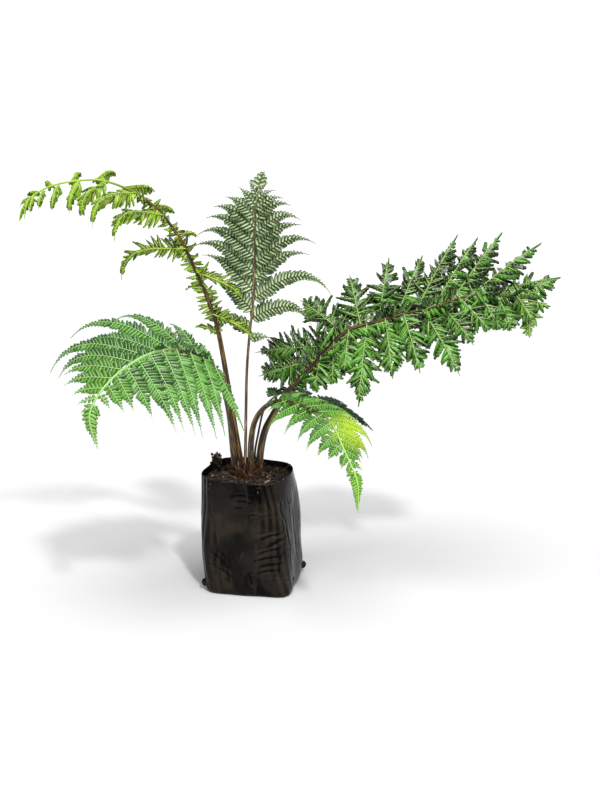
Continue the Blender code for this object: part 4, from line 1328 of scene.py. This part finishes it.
def build_bag():
    """The film's outside from the base up, and over the rim down its inside."""
    growth = Growth()
    turn = 2 * math.pi * np.arange(BAG_COLUMNS) / BAG_COLUMNS
    share = np.concatenate([FOOT_SHARES, np.linspace(0.035, 1, BAG_ROWS)])[:, None]
    z = share * (BAG_HEIGHT + (rim_height(turn) - BAG_HEIGHT) * share**6)
    level = np.minimum(z, BAG_HEIGHT)
    grid = np.tile(turn, (len(z), 1))
    push = film_push(grid, level)
    outer = bag_points(grid, level, push)
    outer[:, :, 2] = z
    inner = [bag_points(turn, level[-k], push[-k] + FILM) for k in INNER_ROWS]
    for ring, k in zip(inner, INNER_ROWS):
        ring[:, 2] = z[-k]
    inner += [bag_points(turn, low + 0 * turn, INNER_INSET) for low in INNER_LEVELS]
    points = np.concatenate([outer, inner])
    flat = points.reshape(-1, 3)
    press = np.concatenate([push.ravel(), np.zeros(len(flat) - push.size)]) / MM
    faces = ring_faces(*points.shape[:2])
    growth.add(flat, faces, rows_of(len(flat), press, 0, 0), np.zeros((len(flat), 3)))
    for corner in (0, math.pi):
        add_ear(growth, EAR_TURN + corner)
    return growth


# %% Drain holes
DRAIN_HOLES = 6
DRAIN_FIRST = math.radians(39)
DRAIN_HEIGHT = 0.019
DRAIN_RADIUS = 0.004
DRAIN_DEPTH = 0.012
DRAIN_SIDES = 24


def copy_marks(old, new):
    """Gives each point of the new mesh the marks of the nearest old one. A Boolean drops them."""
    tree = KDTree(len(old.vertices))
    for k, vertex in enumerate(old.vertices):
        tree.insert(vertex.co, k)
    tree.balance()
    nearest = np.array([tree.find(vertex.co)[1] for vertex in new.vertices])
    rows = np.empty(3 * len(old.vertices), np.float32)
    old.attributes["mark"].data.foreach_get("vector", rows)
    marks = rows.reshape(-1, 3)[nearest]
    new.attributes["mark"].data.foreach_set("vector", marks.ravel())


def cut_drains(bag):
    """Cuts the round holes through the film with one Boolean, and keeps the result."""
    holes = bpy.data.collections.new("drain_cutters")
    bpy.context.scene.collection.children.link(holes)
    for k in range(DRAIN_HOLES):
        turn = DRAIN_FIRST + 2 * math.pi * k / DRAIN_HOLES
        place = bag_points(np.array(turn), np.array(DRAIN_HEIGHT), FILM)
        way = turn + bag_yaw(DRAIN_HEIGHT)
        bpy.ops.mesh.primitive_cylinder_add(vertices=DRAIN_SIDES, radius=DRAIN_RADIUS,
                                            depth=DRAIN_DEPTH, location=place,
                                            rotation=(0, math.pi / 2, way))
        cutter = bpy.context.object
        for owner in list(cutter.users_collection):
            owner.objects.unlink(cutter)
        holes.objects.link(cutter)
    cut = bag.modifiers.new("drains", "BOOLEAN")
    cut.operand_type, cut.operation, cut.solver = "COLLECTION", "DIFFERENCE", "EXACT"
    cut.collection = holes
    graph = bpy.context.evaluated_depsgraph_get()
    made = bpy.data.meshes.new_from_object(bag.evaluated_get(graph))
    bag.modifiers.clear()
    copy_marks(bag.data, made)
    bag.data = made
    for cutter in list(holes.objects):
        bpy.data.objects.remove(cutter)
    bpy.data.collections.remove(holes)
    print("bag after its drain holes:", len(made.polygons), "faces")


# %% [markdown]
# ## The potting mix
# The mix is bark and fibre that stands in a low mound. Its body follows the inside of the bag.
# Several hundred small crooked chips and short fibres lie on it, since a bump in the finish
# alone looks flat at the edge.

# %% Mix surface
SOIL_TOP = 0.176
SOIL_MOUND = 0.006
SOIL_INSET = 0.0021
SOIL_COLUMNS = 120
SOIL_RINGS = 34
SOIL_LEVELS = (0.0015, 0.003, 0.012, 0.055, 0.105, 0.15, 0.17)
SOIL_LUMPS = ((0.0028, 1), (0.0014, 2.7), (0.0008, 7))


def mix_height(x, y, share):
    """The height of the mix above the floor at a place, share being 1 at the bag's wall."""
    spot = Vector((x * 60, y * 60, 3))
    lumps = sum(height * noise.noise(spot * scale) for height, scale in SOIL_LUMPS)
    return SOIL_TOP + SOIL_MOUND * (1 - share**2) + lumps


def mix_point(turn, share):
    """A point of the mix's top, at a turn and a share of the way out to the wall."""
    edge = bag_points(np.array(turn), np.array(SOIL_TOP), SOIL_INSET)
    x = RIM_CENTRE[0] + share * (edge[0] - RIM_CENTRE[0])
    y = RIM_CENTRE[1] + share * (edge[1] - RIM_CENTRE[1])
    return np.array([x, y, mix_height(x, y, share)])


# %% Mix body
def build_mix():
    """The mix's body, from the base up the inside of the film and over its mounded top."""
    growth = Growth()
    turns = 2 * math.pi * np.arange(SOIL_COLUMNS) / SOIL_COLUMNS
    rings = [bag_points(turns, z + 0 * turns, SOIL_INSET) for z in SOIL_LEVELS]
    for share in np.linspace(1, 0.02, SOIL_RINGS):
        rings.append(np.array([mix_point(turn, share) for turn in turns]))
    flat = np.concatenate(rings)
    blank = np.zeros((len(flat), 3))
    growth.add(flat, ring_faces(len(rings), SOIL_COLUMNS), blank, blank)
    return growth


print("mix in the middle, in mm:", round(mix_point(0, 0)[2] / MM, 1))

# %% Chips
CHIP_COUNT = 900
CHIP_ENDS = (-0.5, 0.5)
CHIP_CORNERS = np.array([(x, y, z) for x in CHIP_ENDS for y in CHIP_ENDS for z in CHIP_ENDS])
CHIP_FACES = np.array([(0, 1, 3, 2), (4, 6, 7, 5), (0, 4, 5, 1),
                       (2, 3, 7, 6), (0, 2, 6, 4), (1, 5, 7, 3)])
CHIP_CROOKED = 0.28


def random_spot(dice, most=0.97):
    """A random point of the mix's top, spread evenly over its area."""
    turn, share = dice.uniform(0, 2 * math.pi), math.sqrt(dice.uniform(0.02, most))
    return mix_point(turn, share)


def chip(growth, dice, spot, size):
    """A crooked splinter of bark."""
    out = unit(dice.normal(0, 1, 3) * (1, 1, 0.45))
    y = unit(np.cross(out, dice.normal(0, 1, 3)))
    z = np.cross(out, y)
    corners = CHIP_CORNERS * (1 + dice.normal(0, CHIP_CROOKED, (8, 3))) * size
    points = spot + corners @ np.array([out, y, z])
    growth.add(points, [CHIP_FACES], rows_of(8, 0, 0, dice.random()), rows_of(8, 0, 0, 1))


# %% Fibres
FIBRE_COUNT = 170
FIBRE_STEPS = 6
FIBRE_BEND = 0.28
FIBRE_SAG = 0.05
FIBRE_SIDES = 4
FIBRE_TIP = 0.4


def fibre(growth, dice, spot, length, radius):
    """A thin bent root or coir thread."""
    d = unit(dice.normal(0, 1, 3) * (1, 1, 0.35))
    points, ways = [spot], [d]
    for _ in range(FIBRE_STEPS):
        d = unit(d + dice.normal(0, FIBRE_BEND, 3) - UP * FIBRE_SAG)
        points.append(points[-1] + d * length / FIBRE_STEPS)
        ways.append(d)
    ways = np.array(ways)
    normals = np.cross(ways, unit(dice.normal(0, 1, 3)))
    normals /= np.linalg.norm(normals, axis=1)[:, None]
    radii = radius * np.linspace(1, FIBRE_TIP, len(points))
    tube(growth, np.array(points), ways, normals, radii, FIBRE_SIDES, (0, 0, 2))
    growth.marks[-1][:, 2] = dice.random()


# %% Loose mix
TUFT_COUNT = 90
TUFT_PLACE = np.array([-0.057, 0.030, 0.178])
TUFT_SPREAD = np.array([0.0030, 0.0022, 0.0008])
TUFT_HEIGHT = 0.030
TUFT_CHIP = np.array([1, 0.6, 0.45])


def build_chips():
    """Loose bark and fibres on the mix, and the small tuft at the rim."""
    growth = Growth()
    dice = np.random.default_rng(11)
    for _ in range(CHIP_COUNT):
        length = dice.uniform(1.6, 6.5) * MM
        size = length * np.array([1, dice.uniform(0.3, 0.7), dice.uniform(0.15, 0.45)])
        chip(growth, dice, random_spot(dice) + UP * dice.uniform(-0.3, 1.2) * MM, size)
    for k in range(TUFT_COUNT):
        spot = TUFT_PLACE + dice.normal(0, 1, 3) * TUFT_SPREAD + UP * TUFT_HEIGHT * k / TUFT_COUNT
        chip(growth, dice, spot, dice.uniform(4.0, 7.0) * MM * TUFT_CHIP)
    for _ in range(FIBRE_COUNT):
        spot = random_spot(dice, 0.85) + UP * MM
        length = dice.uniform(8, 26) * MM
        fibre(growth, dice, spot, length, dice.uniform(0.15, 0.4) * MM)
    return growth


print(CHIP_COUNT + TUFT_COUNT, "chips and", FIBRE_COUNT, "fibres")

# %% [markdown]
# ## Finishes of the crown, the bag and the mix
# The film is glossy and nearly black. Painted shade makes its creases blackest, a brown painted
# highlight lies on its raised ridges, and it is brownish where it is dusty or worn. The mix is dark
# brown with tan chips, and the scales are rusty. Single
# objects with a finish each would be slow, so every chip and scale carries its own random
# number as a mark, and one finish reads its tone from that.

# %% Film finish
def film_material():
    """Glossy black film, with painted shade in its creases, a brown painted highlight on its raised
    ridges, and brown worn patches.
    """
    made, w, shader = new_material("bag_film", specular_ior_level=0.09)
    place = w.object_place()
    streak = w.noise(w.stretch(place, (1, 1, 0.12)), 95.0, 3.0, 0.6)
    cloud = w.noise(place, 26.0, 4.0, 0.6)
    fine = w.noise(place, 260.0, 3.0, 0.6)
    press = w.split(w.attribute("mark"))[0]
    worn = w.times(w.ramp(streak, 0.5, 0.72), w.ramp(cloud, 0.42, 0.62))
    # Painted highlight: raised ridges beside the creases turn brown, and share one mix with the
    # real worn streaks.
    ridge_highlight = w.ramp(press, -0.25, -0.9)
    wear_and_highlight = w.maths("MAXIMUM", w.times(worn, 0.6), w.times(ridge_highlight, 0.5), clamp=True)
    patches = w.ramp(w.noise(place, 14.0, 3.0, 0.6), 0.35, 0.65)
    dust_and_crease_shade = w.mix(patches, (0.003, 0.0026, 0.0021), (0.0145, 0.0115, 0.0088))
    # Painted shade: the film is near black where creases press it in.
    dust_and_crease_shade = w.mix(w.ramp(press, 0.15, 0.5), dust_and_crease_shade, (0.0004, 0.0004, 0.0004))
    rough = w.plus(w.ramp(cloud, 0.3, 0.7, 0.16, 0.28), w.times(wear_and_highlight, 0.15))
    w.put(shader.inputs["Base Color"], w.mix(wear_and_highlight, dust_and_crease_shade, (0.042, 0.03, 0.02)))
    w.put(shader.inputs["Roughness"], rough)
    w.put(shader.inputs["Normal"], w.bump(w.plus(fine, w.times(streak, 1.5)), 0.3, 0.0006))
    return made


# %% Mix finish
def mix_material():
    """Dark crumbs, chips from dark to tan by their own chance, and red-brown fibres."""
    made, w, shader = new_material("potting_mix", roughness=0.9)
    place = w.object_place()
    grain = w.noise(place, 900.0, 3.0)
    crumb = w.noise(place, 210.0, 4.0, 0.65)
    chance = w.split(w.attribute("mark"))[2]
    loose = w.split(w.attribute("place"))[2]
    earth = w.mix(w.ramp(crumb, 0.38, 0.68), (0.002, 0.0016, 0.0014), (0.02, 0.011, 0.007))
    bark = w.mix(w.ramp(chance, 0.3, 0.8), (0.004, 0.003, 0.002), (0.06, 0.03, 0.016))
    bark = w.mix(w.ramp(chance, 0.88, 0.97), bark, (0.55, 0.4, 0.26))
    bark = w.mix(w.times(grain, 0.7), bark, (0.01, 0.006, 0.004))
    thread = w.mix(chance, (0.12, 0.06, 0.025), (0.4, 0.24, 0.1))
    colour = w.mix(w.ramp(loose, 0.2, 0.8), earth, bark)
    w.put(shader.inputs["Base Color"], w.mix(w.ramp(loose, 1.2, 1.8), colour, thread))
    w.put(shader.inputs["Normal"], w.bump(w.plus(crumb, w.times(grain, 0.4)), 0.8, 0.0015))
    return made


# %% Crown finish
def crown_material():
    """Rusty scales, each a little darker or lighter by its own chance."""
    made, w, shader = new_material("crown_scales", roughness=0.6)
    chance = w.split(w.attribute("mark"))[2]
    thread = w.noise(w.object_place(), 700.0, 3.0)
    rust = w.mix(w.ramp(chance, 0.1, 0.8), (0.014, 0.006, 0.003), (0.13, 0.045, 0.016))
    rust = w.mix(w.ramp(chance, 0.86, 1.0), rust, (0.3, 0.16, 0.07))
    w.put(shader.inputs["Base Color"], w.mix(w.times(thread, 0.6), rust, (0.02, 0.008, 0.005)))
    w.put(shader.inputs["Normal"], w.bump(thread, 0.5, 0.0004))
    return made


# %% Place the crown, the bag and the mix
build_crown().piece("crown_scaled", crown_material(), "crown_scales", "crown")
mix_paint = mix_material()
build_mix().piece("mix_mound", mix_paint, "potting_mix", "soil")
build_chips().piece("mix_chips", mix_paint, "potting_mix")
cut_drains(build_bag().piece("bag_film", film_material(), "bag_film", "bag"))
